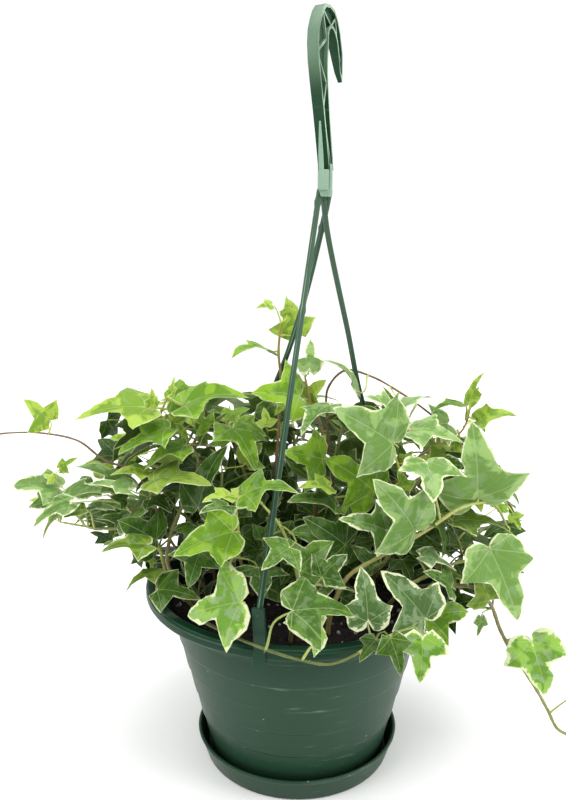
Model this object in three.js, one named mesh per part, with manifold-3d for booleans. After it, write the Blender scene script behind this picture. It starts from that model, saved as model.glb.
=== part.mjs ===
// A potted variegated english ivy in a green hanging pot that stands on its drip saucer.
// Millimetres, +Z up, the origin under the middle of the saucer.

import * as THREE from 'three';
import { mergeVertices } from 'three/addons/utils/BufferGeometryUtils.js';
import Module from 'manifold-3d';

const wasm = await Module();
wasm.setup();

// Driving dimensions of the pot.
const RIM_TOP = 98.4;
const RIM_RADIUS = 80;
const MOUTH_RADIUS = 74;
const LIP_HEIGHT = 5.5;
const WALL = 1.6;
const RING_COUNT = 5;
const RING_PITCH = 14.56;
const RING_STEP = 3.7;
const LOWEST_RING_Z = 25.96;
const LOWEST_RING_RADIUS = 52.6;
const RING_LEDGE = 0.8;
const FOOT_Z = 2.1;
const DRAIN_HOLES = 4;
const DRAIN_RADIUS = 4;
const DRAIN_CIRCLE = 30;
const POT_SIDES = 32;

// Driving dimensions of the saucer and the soil.
const SAUCER_FLOOR = 1.8;
const SAUCER_BASE_RADIUS = 49;
const SAUCER_LIP_RADIUS = 54.4;
const SAUCER_LIP_Z = 13.3;
const SOIL_EDGE_Z = 87;
const SOIL_CROWN_Z = 90.5;
const GAP = 0.3;

// Driving dimensions of the hanger.
const STRAND_RADIUS = 1.4;
const BOSS_CENTRE = new THREE.Vector3(12.1, -7.5, 301.4);
const BOSS_SIZE = new THREE.Vector3(6.5, 13, 14.6);
const BOSS_CHAMFER = 1.2;
const HOOK_ORIGIN = new THREE.Vector3(14.4, -7, 295);
const HOOK_WIDTH = 5.2;
const HOOK_INNER_RADIUS = 8;
const HOOK_INNER_CENTRE = [14.5, 68];
const HOOK_TURN = 19.5;
const HOOK_LEAN = 4.6;
const CLIP_WIDTH = 5.5;
const CLIP_TOP_Z = 119;

// Driving dimensions of the ivy.
const STEM_RADIUS = 1.25;
const STEM_SIDES = 4;
const STEM_STEP = 16;
const PETIOLE_HALF = 0.75;
const PETIOLE_FOOT_HALF = 0.4;
const BLADE_HALF = 0.4;
const ROOT_DEPTH = 12;
const ROOT_HOLE_RADIUS = 2;

// The view in which the stems and leaves were read: the eye, the tilt of its axis and
// the middle of a frame of 566 by 800 pixels, with the focal length in pixels.
const EYE = new THREE.Vector3(-7.7, -398.7, 279.7);
const VIEW_COS = 0.9776;
const VIEW_SIN = 0.2103;
const VIEW_MIDDLE = [283, 400];
const VIEW_FOCAL = 800;

const UP = new THREE.Vector3(0, 0, 1);

// A picture point [column, row, depth] as a point in space. The depth is the distance
// in front of the pot's axis.
function spot([column, row, depth]) {
  const across = column - VIEW_MIDDLE[0];
  const above = VIEW_MIDDLE[1] - row;
  const ahead = VIEW_FOCAL * VIEW_COS + above * VIEW_SIN;
  const rise = above * VIEW_COS - VIEW_FOCAL * VIEW_SIN;
  const reach = (-depth - EYE.y) / ahead;
  return new THREE.Vector3(EYE.x + across * reach, -depth, EYE.z + rise * reach);
}

// Solids: a closed geometry becomes a solid, and a solid becomes a geometry again.
function solid(geometry) {
  const bare = geometry.clone();
  bare.deleteAttribute('normal');
  bare.deleteAttribute('uv');
  const merged = mergeVertices(bare, 1e-5);
  return new wasm.Manifold(new wasm.Mesh({
    numProp: 3,
    vertProperties: new Float32Array(merged.attributes.position.array),
    triVerts: new Uint32Array(merged.index.array),
  }));
}

function geometryOf(body) {
  const mesh = body.getMesh();
  const geometry = new THREE.BufferGeometry();
  geometry.setAttribute('position', new THREE.BufferAttribute(mesh.vertProperties, 3));
  geometry.setIndex(new THREE.BufferAttribute(mesh.triVerts, 1));
  return geometry;
}

function join(parts) {
  return parts.reduce((whole, part) => whole.add(part));
}

const group = new THREE.Group();

function place(name, body, colour, roughness) {
  const material = new THREE.MeshStandardMaterial({ color: colour, roughness, metalness: 0 });
  const mesh = new THREE.Mesh(geometryOf(body), material);
  mesh.name = name;
  group.add(mesh);
}

// A turned body: the profile's points are [radius, height].
function turned(profile, sides) {
  const points = profile.map(([radius, height]) => new THREE.Vector2(radius, height));
  const lathe = new THREE.LatheGeometry(points, sides);
  lathe.rotateX(Math.PI / 2);
  return solid(lathe);
}

// A straight tube or prism with a regular section, along a path.
function tube(path, radius, sides, steps) {
  const section = new THREE.Shape();
  for (let i = 0; i < sides; i += 1) {
    const angle = (i / sides) * 2 * Math.PI;
    const x = radius * Math.cos(angle);
    const y = radius * Math.sin(angle);
    if (i === 0) section.moveTo(x, y);
    else section.lineTo(x, y);
  }
  section.closePath();
  return solid(new THREE.ExtrudeGeometry(section, { steps, extrudePath: path }));
}

// An outline pushed out along its own normal, centred on its plane.
function plate(points, thickness, hole) {
  const outline = new THREE.Shape(points.map(([x, y]) => new THREE.Vector2(x, y)));
  if (hole) outline.holes.push(new THREE.Path(hole.map(([x, y]) => new THREE.Vector2(x, y))));
  const geometry = new THREE.ExtrudeGeometry(outline, { depth: thickness, bevelEnabled: false });
  geometry.translate(0, 0, -thickness / 2);
  return geometry;
}

// The pot: a flat foot, a side of stepped rings, a flared neck and a flanged rim.
const INNER_FLOOR_Z = 5.8;
const NECK_Z = LOWEST_RING_Z + RING_PITCH * (RING_COUNT - 1);
const NECK_RADIUS = LOWEST_RING_RADIUS + RING_STEP * (RING_COUNT - 1);

function potInnerRadius(z) {
  const low = [45.2, INNER_FLOOR_Z];
  const middle = [LOWEST_RING_RADIUS - RING_LEDGE - WALL, LOWEST_RING_Z];
  const high = [NECK_RADIUS - RING_LEDGE - WALL, NECK_Z];
  const brim = [MOUTH_RADIUS - 2, 94];
  const [from, to] = z < middle[1] ? [low, middle] : z < high[1] ? [middle, high] : [high, brim];
  return from[0] + ((to[0] - from[0]) * (z - from[1])) / (to[1] - from[1]);
}

function makePot() {
  const profile = [[0, 4], [42, 4], [42.6, FOOT_Z], [46, FOOT_Z], [47, 4]];
  for (let i = 0; i < RING_COUNT; i += 1) {
    const z = LOWEST_RING_Z + RING_PITCH * i;
    const radius = LOWEST_RING_RADIUS + RING_STEP * i;
    profile.push([radius - RING_LEDGE, z - 0.4], [radius, z + 0.4]);
  }
  const lipBottom = RIM_TOP - LIP_HEIGHT;
  profile.push(
    [NECK_RADIUS + 2.9, 89.6],
    [MOUTH_RADIUS - 0.4, lipBottom - 0.4],
    [RIM_RADIUS - 0.9, lipBottom],
    [RIM_RADIUS, lipBottom + 1],
    [RIM_RADIUS, RIM_TOP - 1.2],
    [RIM_RADIUS - 1.2, RIM_TOP],
    [MOUTH_RADIUS + 0.5, RIM_TOP],
    [MOUTH_RADIUS, RIM_TOP - 0.6],
    [potInnerRadius(94), 94],
    [potInnerRadius(NECK_Z), NECK_Z],
    [potInnerRadius(LOWEST_RING_Z), LOWEST_RING_Z],
    [potInnerRadius(INNER_FLOOR_Z), INNER_FLOOR_Z],
    [0, INNER_FLOOR_Z],
  );
  let pot = turned(profile, POT_SIDES);
  for (let i = 0; i < DRAIN_HOLES; i += 1) {
    const angle = ((i + 0.5) / DRAIN_HOLES) * 2 * Math.PI;
    const hole = new THREE.CylinderGeometry(DRAIN_RADIUS, DRAIN_RADIUS, 10, 8);
    hole.rotateX(Math.PI / 2);
    hole.translate(DRAIN_CIRCLE * Math.cos(angle), DRAIN_CIRCLE * Math.sin(angle), 4);
    pot = pot.subtract(solid(hole));
  }
  return pot;
}

function makeSaucer() {
  return turned([
    [0, 0],
    [SAUCER_BASE_RADIUS, 0],
    [SAUCER_BASE_RADIUS + 1.2, 0.8],
    [SAUCER_LIP_RADIUS - 0.8, SAUCER_LIP_Z - 1.8],
    [SAUCER_LIP_RADIUS, SAUCER_LIP_Z - 0.9],
    [SAUCER_LIP_RADIUS, SAUCER_LIP_Z - 0.1],
    [SAUCER_LIP_RADIUS - 0.9, SAUCER_LIP_Z + 0.4],
    [SAUCER_LIP_RADIUS - 2, SAUCER_LIP_Z - 0.3],
    [SAUCER_BASE_RADIUS - 0.2, SAUCER_FLOOR],
    [0, SAUCER_FLOOR],
  ], POT_SIDES);
}

// The soil's surface is a low mound that stays below the rim.
function soilTop(radius) {
  const share = Math.min(radius / potInnerRadius(SOIL_EDGE_Z), 1);
  return SOIL_CROWN_Z - (SOIL_CROWN_Z - SOIL_EDGE_Z) * share * share;
}

function makeSoil(holes) {
  const inset = (z) => potInnerRadius(z) - GAP;
  const edge = inset(SOIL_EDGE_Z);
  const bottom = INNER_FLOOR_Z + GAP;
  const soil = turned([
    [0, bottom],
    [inset(bottom), bottom],
    [inset(LOWEST_RING_Z), LOWEST_RING_Z],
    [inset(NECK_Z), NECK_Z],
    [edge, SOIL_EDGE_Z],
    [edge * 0.55, soilTop(edge * 0.55)],
    [0, SOIL_CROWN_Z],
  ], 24);
  return soil.subtract(join(holes));
}

// The hook: an outer and an inner edge joined by a thin web with a zig-zag of ribs. Its
// outline goes up the outside of the shank, over the bend to the limb's tip, and back
// round the seat.
function hookBounds() {
  const seat = [];
  for (let i = 0; i <= 7; i += 1) {
    const angle = (i / 7) * Math.PI;
    seat.push([
      HOOK_INNER_CENTRE[0] + HOOK_INNER_RADIUS * Math.cos(angle),
      HOOK_INNER_CENTRE[1] + HOOK_INNER_RADIUS * Math.sin(angle),
    ]);
  }
  return [
    [-7, 11], [-8.2, 27], [-9.3, 37], [-11.2, 50], [-12, 58], [-11.2, 66], [-8.6, 72.4],
    [-4.1, 77.6], [0.6, 82], [6, 85.2], [14, 86.3], [21, 85.2], [25.6, 82], [29, 76.5],
    [30.5, 67], [28.3, 57.5], [26.2, 53.6], [23.2, 58],
    ...seat,
    [4.6, 63], [2.7, 57], [1.4, 48], [0.5, 11],
  ];
}

function hookOutline(inset) {
  const bounds = hookBounds();
  return bounds.map(([x, y], i) => {
    const [beforeX, beforeY] = bounds[(i + bounds.length - 1) % bounds.length];
    const [afterX, afterY] = bounds[(i + 1) % bounds.length];
    const before = Math.hypot(x - beforeX, y - beforeY);
    const after = Math.hypot(afterX - x, afterY - y);
    const inX = (y - beforeY) / before + (afterY - y) / after;
    const inY = (beforeX - x) / before + (x - afterX) / after;
    const reach = (2 * inset) / (inX * inX + inY * inY);
    return [x + inX * reach, y + inY * reach];
  });
}

// The hook's own axes: across its opening, up its shank, and along its width.
function hookPlacement() {
  const turn = THREE.MathUtils.degToRad(HOOK_TURN);
  const lean = THREE.MathUtils.degToRad(HOOK_LEAN);
  const up = new THREE.Vector3(-Math.sin(lean), 0, Math.cos(lean));
  const side = new THREE.Vector3(Math.sin(turn), Math.cos(turn), 0);
  const width = new THREE.Vector3().crossVectors(side, up).normalize();
  const across = new THREE.Vector3().crossVectors(up, width).normalize();
  const matrix = new THREE.Matrix4().makeBasis(across, up, width);
  matrix.setPosition(HOOK_ORIGIN);
  return matrix;
}

const HOOK_RIBS = [
  [-1, 13], [-8, 37], [0.2, 50], [-10.8, 62], [5.6, 70], [3, 82.4], [15, 77.2],
  [23.4, 82.2], [23.6, 69.8], [28.6, 63],
];

// The limb narrows towards its tip: what this wedge holds is cut from its left side.
function limbTaper() {
  const wedge = plate([[-6, 73], [-2.6, 73], [0.6, 53], [-6, 53]], 17);
  wedge.rotateY(-Math.PI / 2);
  wedge.translate(24, 0, 0);
  return solid(wedge);
}

function makeHook() {
  const edge = 1.5;
  const rib = 1.2;
  const parts = [
    solid(plate(hookOutline(0), HOOK_WIDTH, hookOutline(edge).reverse())),
    solid(plate(hookOutline(edge * 0.7), 1.6)),
  ];
  for (let i = 0; i + 1 < HOOK_RIBS.length; i += 1) {
    const [fromX, fromY] = HOOK_RIBS[i];
    const [toX, toY] = HOOK_RIBS[i + 1];
    const bar = new THREE.BoxGeometry(Math.hypot(toX - fromX, toY - fromY), rib, HOOK_WIDTH - 1.2);
    bar.rotateZ(Math.atan2(toY - fromY, toX - fromX));
    bar.translate((fromX + toX) / 2, (fromY + toY) / 2, 0);
    parts.push(solid(bar));
  }
  const hook = geometryOf(join(parts).subtract(limbTaper()));
  hook.applyMatrix4(hookPlacement());
  return solid(hook);
}

// The boss: a pale block with a thin blade up the front of the shank, a slot for the
// hook's foot and three sockets for the strands.
function makeBoss(sockets) {
  const [w, d, c] = [BOSS_SIZE.x / 2, BOSS_SIZE.y / 2, BOSS_CHAMFER];
  const block = plate([
    [c - w, -d], [w - c, -d], [w, c - d], [w, d - c],
    [w - c, d], [c - w, d], [-w, d - c], [-w, c - d],
  ], BOSS_SIZE.z);
  block.translate(BOSS_CENTRE.x, BOSS_CENTRE.y, BOSS_CENTRE.z);
  const foot = plate(hookOutline(-GAP), HOOK_WIDTH + 2 * GAP);
  foot.applyMatrix4(hookPlacement());
  const blade = plate([[-1.3, -5], [1.3, -5], [1.1, 8], [0.4, 22], [-0.4, 22], [-1.1, 8]], 1.5);
  blade.rotateX(Math.PI / 2);
  blade.rotateY(THREE.MathUtils.degToRad(-HOOK_LEAN / 2));
  blade.translate(BOSS_CENTRE.x - 2.2, BOSS_CENTRE.y - 10.4, BOSS_CENTRE.z + 3.6);
  const bridge = new THREE.BoxGeometry(4.4, 6, 9);
  bridge.translate(BOSS_CENTRE.x - 1, BOSS_CENTRE.y - 8.4, BOSS_CENTRE.z);
  const whole = join([solid(block), solid(bridge), solid(blade)]);
  return whole.subtract(join([solid(foot), ...sockets]));
}

// The strands: where each leaves the boss, its visible course and its place on the rim.
const STRANDS = [
  { name: 'hanger_strand_front', top: [-2.6, -3.6], course: [], azimuth: -13 },
  {
    name: 'hanger_strand_right',
    top: [-1, 0.6],
    course: [[327, 230, 3], [347.2, 328.5, -8], [364, 406.6, -20]],
    azimuth: 125,
  },
  {
    name: 'hanger_strand_left',
    top: [2.6, 4],
    course: [[324, 219, 0], [301.3, 310, -12], [276.8, 380.6, -30]],
    azimuth: -143,
  },
];

function strandPath({ top, course, azimuth }) {
  const angle = THREE.MathUtils.degToRad(azimuth);
  const radius = RIM_RADIUS + 1.8;
  const start = new THREE.Vector3(
    BOSS_CENTRE.x + top[0],
    BOSS_CENTRE.y + top[1],
    BOSS_CENTRE.z - BOSS_SIZE.z / 2 + 3,
  );
  const end = new THREE.Vector3(
    radius * Math.sin(angle),
    -radius * Math.cos(angle),
    CLIP_TOP_Z - 4,
  );
  return new THREE.CatmullRomCurve3([start, ...course.map(spot), end], false, 'centripetal');
}

// The clip: a tab outside the rim with one finger over the rim and one under its lip.
function makeClip(azimuth) {
  const inner = RIM_RADIUS + GAP;
  const outer = RIM_RADIUS + 3.2;
  const under = RIM_TOP - LIP_HEIGHT - GAP;
  const over = RIM_TOP + GAP;
  const profile = [
    [RIM_RADIUS - 3, under], [RIM_RADIUS - 3, under - 1.4], [outer, under - 1.4],
    [outer, CLIP_TOP_Z], [inner + 0.4, CLIP_TOP_Z], [inner, over + 1.5],
    [RIM_RADIUS - 3.5, over + 1.5], [RIM_RADIUS - 3.5, over], [inner, over], [inner, under],
  ];
  const clip = plate(profile, CLIP_WIDTH);
  clip.rotateX(Math.PI / 2);
  clip.rotateZ(THREE.MathUtils.degToRad(azimuth - 90));
  return solid(clip);
}

function makeStrand(strand) {
  return tube(strandPath(strand), STRAND_RADIUS, 8, 12).add(makeClip(strand.azimuth));
}

function makeSocket(strand) {
  const path = strandPath(strand);
  const start = path.getPoint(0);
  const along = path.getTangent(0);
  const line = new THREE.LineCurve3(
    start.clone().addScaledVector(along, -GAP),
    start.clone().addScaledVector(along, 14),
  );
  return tube(line, STRAND_RADIUS + GAP, 8, 1);
}

// The ivy's visible stems and leaves, read by eye. A route runs from the root outwards in
// picture points [column, row, depth], and a branch leaves it at its own first point. A
// leaf has the picture point where its petiole meets the blade and that of its apex. Its
// tilt turns the upper face from the viewer towards the sky, in degrees. Wide and arch
// change its breadth and how far its middle stands above the line to its apex.
const VINES = [
  {
    name: 'vine_top_shoot',
    root: [-12, 8],
    route: [[276, 470, -6], [279, 420, -14], [281, 368, -20], [278, 346, -20], [281, 323, -20]],
    branches: [],
    leaves: [
      { at: [272, 305, -18], tip: [256, 308, -14], tone: 'lime', tilt: 40, wide: 0.9 },
      { at: [296, 334, -18], tip: [286, 297, -24], tone: 'lime', tilt: 0 },
      { at: [268, 351, -18], tip: [231, 359, -8], tone: 'green', tilt: 72, arch: 0.2 },
      { at: [299, 396, -6], tip: [252, 392, 4], tone: 'green', tilt: 25, wide: 1.15 },
    ],
  },
  {
    name: 'vine_top_right',
    root: [8, 14],
    route: [[318, 480, -6], [322, 440, -10], [318, 411, -12], [309, 401, -12], [305, 377, -14]],
    branches: [],
    leaves: [
      { at: [306, 398, -8], tip: [325, 380, -2], tone: 'lime', tilt: 15 },
      { at: [309, 371, -12], tip: [311, 338, -18], tone: 'grey', tilt: 10, wide: 0.8 },
      { at: [329, 406, 0], tip: [299, 433, 14], tone: 'grey', tilt: 60 },
    ],
  },
  {
    name: 'vine_right_arc',
    root: [22, 24],
    route: [
      [332, 470, -18], [327, 420, -24], [328, 388, -24], [340, 371, -22], [357, 373, -20],
      [378, 379, -16], [405, 396, -10], [428, 412, -6], [452, 434, 0], [462, 446, 4],
    ],
    branches: [],
    leaves: [
      { at: [357, 392, 2], tip: [326, 358, 0], tone: 'grey', tilt: 74, wide: 0.6, arch: 0.12 },
      { at: [402, 407, -4], tip: [432, 395, -8], tone: 'grey', tilt: 74 },
      { at: [392, 407, 2], tip: [364, 396, 8], tone: 'grey', tilt: 60 },
      { at: [447, 424, -4], tip: [411, 428, 6], tone: 'grey', tilt: 30 },
      { at: [414, 431, 4], tip: [464, 443, 12], tone: 'grey', tilt: 58 },
    ],
  },
  {
    name: 'vine_right_tip',
    root: [34, 12],
    route: [
      [392, 490, -6], [412, 462, -8], [426, 452, -8], [444, 443, -8], [457, 435, -8],
      [468, 424, -8], [473, 415, -8], [471, 406, -8],
    ],
    branches: [],
    leaves: [
      { at: [470, 404, -6], tip: [484, 371, -12], tone: 'lime', tilt: 48, wide: 0.6 },
      { at: [476, 420, -5], tip: [517, 414, 6], tone: 'lime', tilt: 45, wide: 0.8 },
      { at: [462, 404, -8], tip: [430, 411, -4], tone: 'green', tilt: 74 },
    ],
  },
  {
    name: 'vine_right_main',
    root: [14, -46],
    route: [
      [345, 580, 50], [372, 561, 46], [400, 546, 42], [418, 534, 40], [446, 520, 36],
      [459, 507, 32], [478, 504, 22], [497, 506, 16], [507, 526, 14],
    ],
    branches: [],
    leaves: [
      { at: [478, 499, 28], tip: [473, 423, 38], tone: 'grey', tilt: 12, wide: 0.95 },
      { at: [415, 530, 46], tip: [373, 479, 54], tone: 'lime', tilt: 22 },
      { at: [427, 462, 20], tip: [433, 503, 38], tone: 'grey', tilt: 20, wide: 1.2 },
      { at: [452, 521, 20], tip: [512, 530, 18], tone: 'olive', tilt: 64, wide: 0.75 },
      { at: [449, 512, 28], tip: [412, 521, 40], tone: 'deep', tilt: 50 },
      { at: [386, 531, 44], tip: [340, 518, 52], tone: 'grey', tilt: 30, wide: 0.9 },
    ],
  },
  {
    name: 'vine_right_low',
    root: [44, -30],
    route: [[405, 588, 48], [440, 570, 40], [470, 560, 32], [488, 566, 26], [492, 582, 22]],
    branches: [],
    leaves: [
      { at: [490, 549, 38], tip: [518, 621, 48], tone: 'grey', tilt: 18, wide: 0.95 },
      { at: [490, 600, 24], tip: [475, 570, 26], tone: 'olive', tilt: 10, wide: 1.2 },
      { at: [440, 572, 32], tip: [470, 585, 30], tone: 'olive', tilt: 64 },
      { at: [421, 556, 43], tip: [457, 570, 45], tone: 'grey', tilt: 62 },
      { at: [410, 546, 34], tip: [456, 557, 32], tone: 'deep', tilt: 64 },
      { at: [452, 588, 38], tip: [424, 571, 44], tone: 'shade', tilt: 50 },
    ],
  },
  {
    name: 'vine_right_trail',
    root: [54, -6],
    route: [
      [440, 586, 22], [468, 585, 20], [489, 602, 16], [504, 640, 13], [512, 652, 12],
      [541, 697, 8], [562, 733, 4],
    ],
    ground: [[160, 0], [178, 8], [198, 10], [216, 4]],
    branches: [],
    leaves: [
      { at: [531, 641, 22], tip: [547, 696, 28], tone: 'lime', tilt: 12, wide: 1.1 },
      { at: [580, 700, 8], tip: [601, 735, 22], tone: 'green', tilt: 30 },
      { at: [622, 735, 18], tip: [648, 752, 34], tone: 'green', tilt: 60 },
      { at: [640, 700, -16], tip: [668, 690, -30], tone: 'green', tilt: 60 },
      { at: [690, 722, 0], tip: [716, 714, -2], tone: 'lime', tilt: 60 },
    ],
  },
  {
    name: 'vine_front_runner',
    root: [-46, -35],
    route: [
      [188, 612, 52], [212, 626, 65], [235, 637, 77], [262, 648, 86], [285, 656, 85],
      [310, 662, 84], [333, 664, 83], [352, 656, 82], [375, 645, 78], [400, 632, 68],
      [424, 634, 60], [440, 631, 52], [450, 622, 46],
    ],
    branches: [],
    leaves: [
      { at: [241, 602, 72], tip: [187, 616, 62], tone: 'lime', tilt: 18, wide: 1.1 },
      { at: [322, 627, 100], tip: [284, 622, 106], tone: 'cream', tilt: 24, wide: 1.2 },
      { at: [292, 612, 80], tip: [357, 612, 74], tone: 'green', tilt: 44, wide: 1.15 },
      { at: [368, 622, 78], tip: [362, 566, 66], tone: 'grey', tilt: 14, wide: 0.95 },
      { at: [425, 619, 62], tip: [383, 571, 60], tone: 'grey', tilt: 18, wide: 1.05 },
      { at: [427, 616, 54], tip: [469, 611, 50], tone: 'green', tilt: 20, wide: 1.2 },
      { at: [423, 636, 68], tip: [420, 684, 76], tone: 'lime', tilt: 8 },
      { at: [390, 638, 70], tip: [402, 677, 76], tone: 'deep', tilt: 20, wide: 0.8 },
    ],
  },
  {
    name: 'vine_left_low',
    root: [-51, -29],
    route: [[166, 574, 34], [162, 553, 30], [150, 535, 26], [131, 510, 20], [125, 505, 18]],
    branches: [
      [[141, 523, 23], [115, 529, 14], [88, 527, 10], [73, 524, 8], [60, 522, 6]],
      [[131, 510, 20], [143, 505, 20], [152, 495, 18], [153, 486, 16]],
    ],
    leaves: [
      { at: [59, 489, 4], tip: [12, 486, 10], tone: 'grey', tilt: 50, wide: 1.1 },
      { at: [65, 497, 8], tip: [112, 491, 12], tone: 'grey', tilt: 60 },
      { at: [72, 503, 12], tip: [32, 525, 20], tone: 'grey', tilt: 60 },
      { at: [80, 510, 12], tip: [41, 538, 18], tone: 'olive', tilt: 76, arch: 0.16 },
      { at: [88, 507, 10], tip: [116, 511, 16], tone: 'grey', tilt: 60 },
      { at: [126, 487, 12], tip: [76, 464, 10], tone: 'grey', tilt: 63 },
      { at: [150, 473, 14], tip: [110, 474, 20], tone: 'lime', tilt: 70 },
      { at: [60, 469, 2], tip: [78, 457, 2], tone: 'lime', tilt: 30, wide: 0.7 },
      { at: [153, 480, 20], tip: [212, 483, 24], tone: 'olive', tilt: 64 },
      { at: [130, 490, 14], tip: [88, 483, 14], tone: 'grey', tilt: 65 },
      { at: [156, 540, 34], tip: [118, 520, 40], tone: 'deep', tilt: 12, wide: 1.25 },
      { at: [148, 545, 38], tip: [101, 551, 44], tone: 'olive', tilt: 62 },
      { at: [160, 571, 36], tip: [125, 592, 44], tone: 'olive', tilt: 74, arch: 0.12 },
    ],
  },
  {
    name: 'vine_upper_left',
    root: [-49, -28],
    route: [
      [170, 572, 26], [168, 548, 20], [178, 515, 12], [194, 485, 6], [200, 465, 4],
      [191, 447, 2], [179, 438, 0], [163, 437, 0], [157, 429, 0], [165, 414, 0], [167, 398, 0],
    ],
    branches: [
      [[191, 447, 2], [192, 440, 2], [199, 432, 2], [208, 428, 2], [228, 426, 0]],
    ],
    leaves: [
      { at: [150, 408, 6], tip: [74, 418, 12], tone: 'lime', tilt: 60, wide: 0.95 },
      { at: [166, 429, 4], tip: [118, 455, 14], tone: 'green', tilt: 60 },
      { at: [184, 446, 10], tip: [143, 468, 18], tone: 'green', tilt: 60 },
      { at: [172, 401, -4], tip: [219, 391, -8], tone: 'green', tilt: 50 },
      { at: [183, 405, 4], tip: [248, 394, 8], tone: 'green', tilt: 62 },
      { at: [168, 417, 6], tip: [190, 445, 12], tone: 'lime', tilt: 45 },
      { at: [199, 468, 10], tip: [162, 475, 18], tone: 'deep', tilt: 55, wide: 1.2 },
      { at: [232, 428, 6], tip: [256, 470, 22], tone: 'green', tilt: 50, wide: 1.2 },
      { at: [236, 425, -4], tip: [267, 436, 4], tone: 'green', tilt: 45, wide: 1.1 },
      { at: [226, 420, -8], tip: [250, 408, -14], tone: 'green', tilt: 45 },
    ],
  },
  {
    name: 'vine_left_runner',
    root: [-44, -18],
    route: [
      [164, 530, 10], [150, 492, 10], [138, 476, 10], [127, 467, 10], [110, 464, 10],
      [93, 450, 10], [76, 440, 10], [40, 433, 8], [0, 434, 6], [-34, 442, 4], [-62, 458, 2],
    ],
    branches: [],
    leaves: [
      { at: [50, 421, 10], tip: [23, 399, 14], tone: 'lime', tilt: 5 },
      { at: [-12, 420, 6], tip: [-34, 408, 10], tone: 'lime', tilt: 20 },
      { at: [-46, 434, 4], tip: [-74, 424, 8], tone: 'lime', tilt: 30 },
      { at: [-62, 468, 4], tip: [-84, 486, 8], tone: 'lime', tilt: 40 },
    ],
  },
  {
    name: 'vine_centre_left',
    root: [-24, -8],
    route: [[240, 560, 22], [238, 530, 18], [228, 505, 12], [218, 490, 8], [222, 470, 4]],
    branches: [],
    leaves: [
      { at: [199, 508, 22], tip: [224, 444, 14], tone: 'shade', tilt: 45 },
      { at: [222, 491, 16], tip: [232, 445, 10], tone: 'shade', tilt: -50 },
    ],
  },
  {
    name: 'vine_front_left',
    root: [-34, -42],
    route: [[226, 578, 50], [234, 552, 44], [240, 530, 36], [236, 508, 32]],
    branches: [],
    leaves: [
      { at: [233, 532, 56], tip: [173, 557, 58], tone: 'green', tilt: 34, wide: 1.05 },
      { at: [231, 496, 36], tip: [202, 502, 44], tone: 'lime', tilt: 60 },
      { at: [229, 506, 34], tip: [199, 514, 44], tone: 'shade', tilt: 60 },
      { at: [200, 552, 50], tip: [188, 588, 62], tone: 'shade', tilt: 12, wide: 1.2 },
      { at: [258, 568, 46], tip: [262, 598, 62], tone: 'shade', tilt: 15, wide: 1.5 },
    ],
  },
  {
    name: 'vine_centre_front',
    root: [-4, -52],
    route: [[300, 598, 54], [297, 575, 50], [288, 545, 46], [276, 518, 42], [262, 504, 40]],
    branches: [],
    leaves: [
      { at: [244, 495, 44], tip: [299, 491, 46], tone: 'green', tilt: 55, arch: 0.14 },
      { at: [298, 569, 60], tip: [334, 541, 56], tone: 'shade', tilt: 20, wide: 1.2 },
      { at: [322, 577, 68], tip: [347, 553, 62], tone: 'shade', tilt: 22, wide: 1.2 },
      { at: [322, 590, 76], tip: [357, 592, 80], tone: 'shade', tilt: 74 },
      { at: [290, 548, 54], tip: [261, 570, 64], tone: 'shade', tilt: 25, wide: 1.1 },
    ],
  },
  {
    name: 'vine_centre',
    root: [6, -22],
    route: [[334, 560, 22], [330, 520, 16], [329, 492, 12], [324, 472, 8], [322, 450, 4]],
    branches: [],
    leaves: [
      { at: [345, 545, 50], tip: [303, 517, 54], tone: 'deep', tilt: 16, wide: 1.15 },
      { at: [330, 487, 26], tip: [298, 487, 32], tone: 'lime', tilt: 58 },
      { at: [322, 459, 12], tip: [283, 452, 18], tone: 'green', tilt: 15, wide: 1.2 },
      { at: [336, 506, 32], tip: [288, 499, 40], tone: 'shade', tilt: 64 },
      { at: [374, 491, 28], tip: [325, 457, 24], tone: 'green', tilt: 22, wide: 1.1 },
      { at: [340, 545, 36], tip: [290, 530, 40], tone: 'shade', tilt: 35, wide: 1.2 },
    ],
  },
  {
    name: 'vine_centre_right',
    root: [26, -14],
    route: [[386, 560, 20], [402, 522, 14], [404, 492, 10], [399, 470, 6], [394, 452, 4]],
    branches: [],
    leaves: [
      { at: [393, 443, 22], tip: [334, 408, 28], tone: 'grey', tilt: 12, wide: 1.05 },
      { at: [374, 566, 52], tip: [352, 546, 56], tone: 'shade', tilt: 12 },
    ],
  },
];

// Vines that follow a rule fill the back and the middle: each rises from the soil, arches
// over and droops outside the rim. Azimuth 0 is the front, and reach is from the axis.
const RULE_TIERS = [
  { rootRadius: 36, reach: 124, peak: 164, end: 136, leaves: 7 },
  { rootRadius: 24, reach: 92, peak: 180, end: 162, leaves: 6 },
  { rootRadius: 48, reach: 108, peak: 128, end: 106, leaves: 5 },
];
const RULE_VINES = 13;
const RULE_FROM = 76;
const RULE_TO = 272;
const SIDE_SAVING = 0.17;
const VINE_TRIES = 40;
const LEAF_TRIES = 40;

// The foliage as it is seen from the front, in picture points [column, row]. Vines that
// follow the rule stay behind it.
const SILHOUETTE = [
  [18, 502], [40, 484], [96, 456], [100, 414], [130, 398], [180, 382], [240, 400],
  [275, 384], [330, 398], [372, 396], [405, 410], [440, 424], [470, 418], [500, 426],
  [506, 468], [524, 500], [534, 556], [514, 612], [486, 600], [455, 640], [150, 640],
  [140, 566], [60, 522],
];

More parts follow.
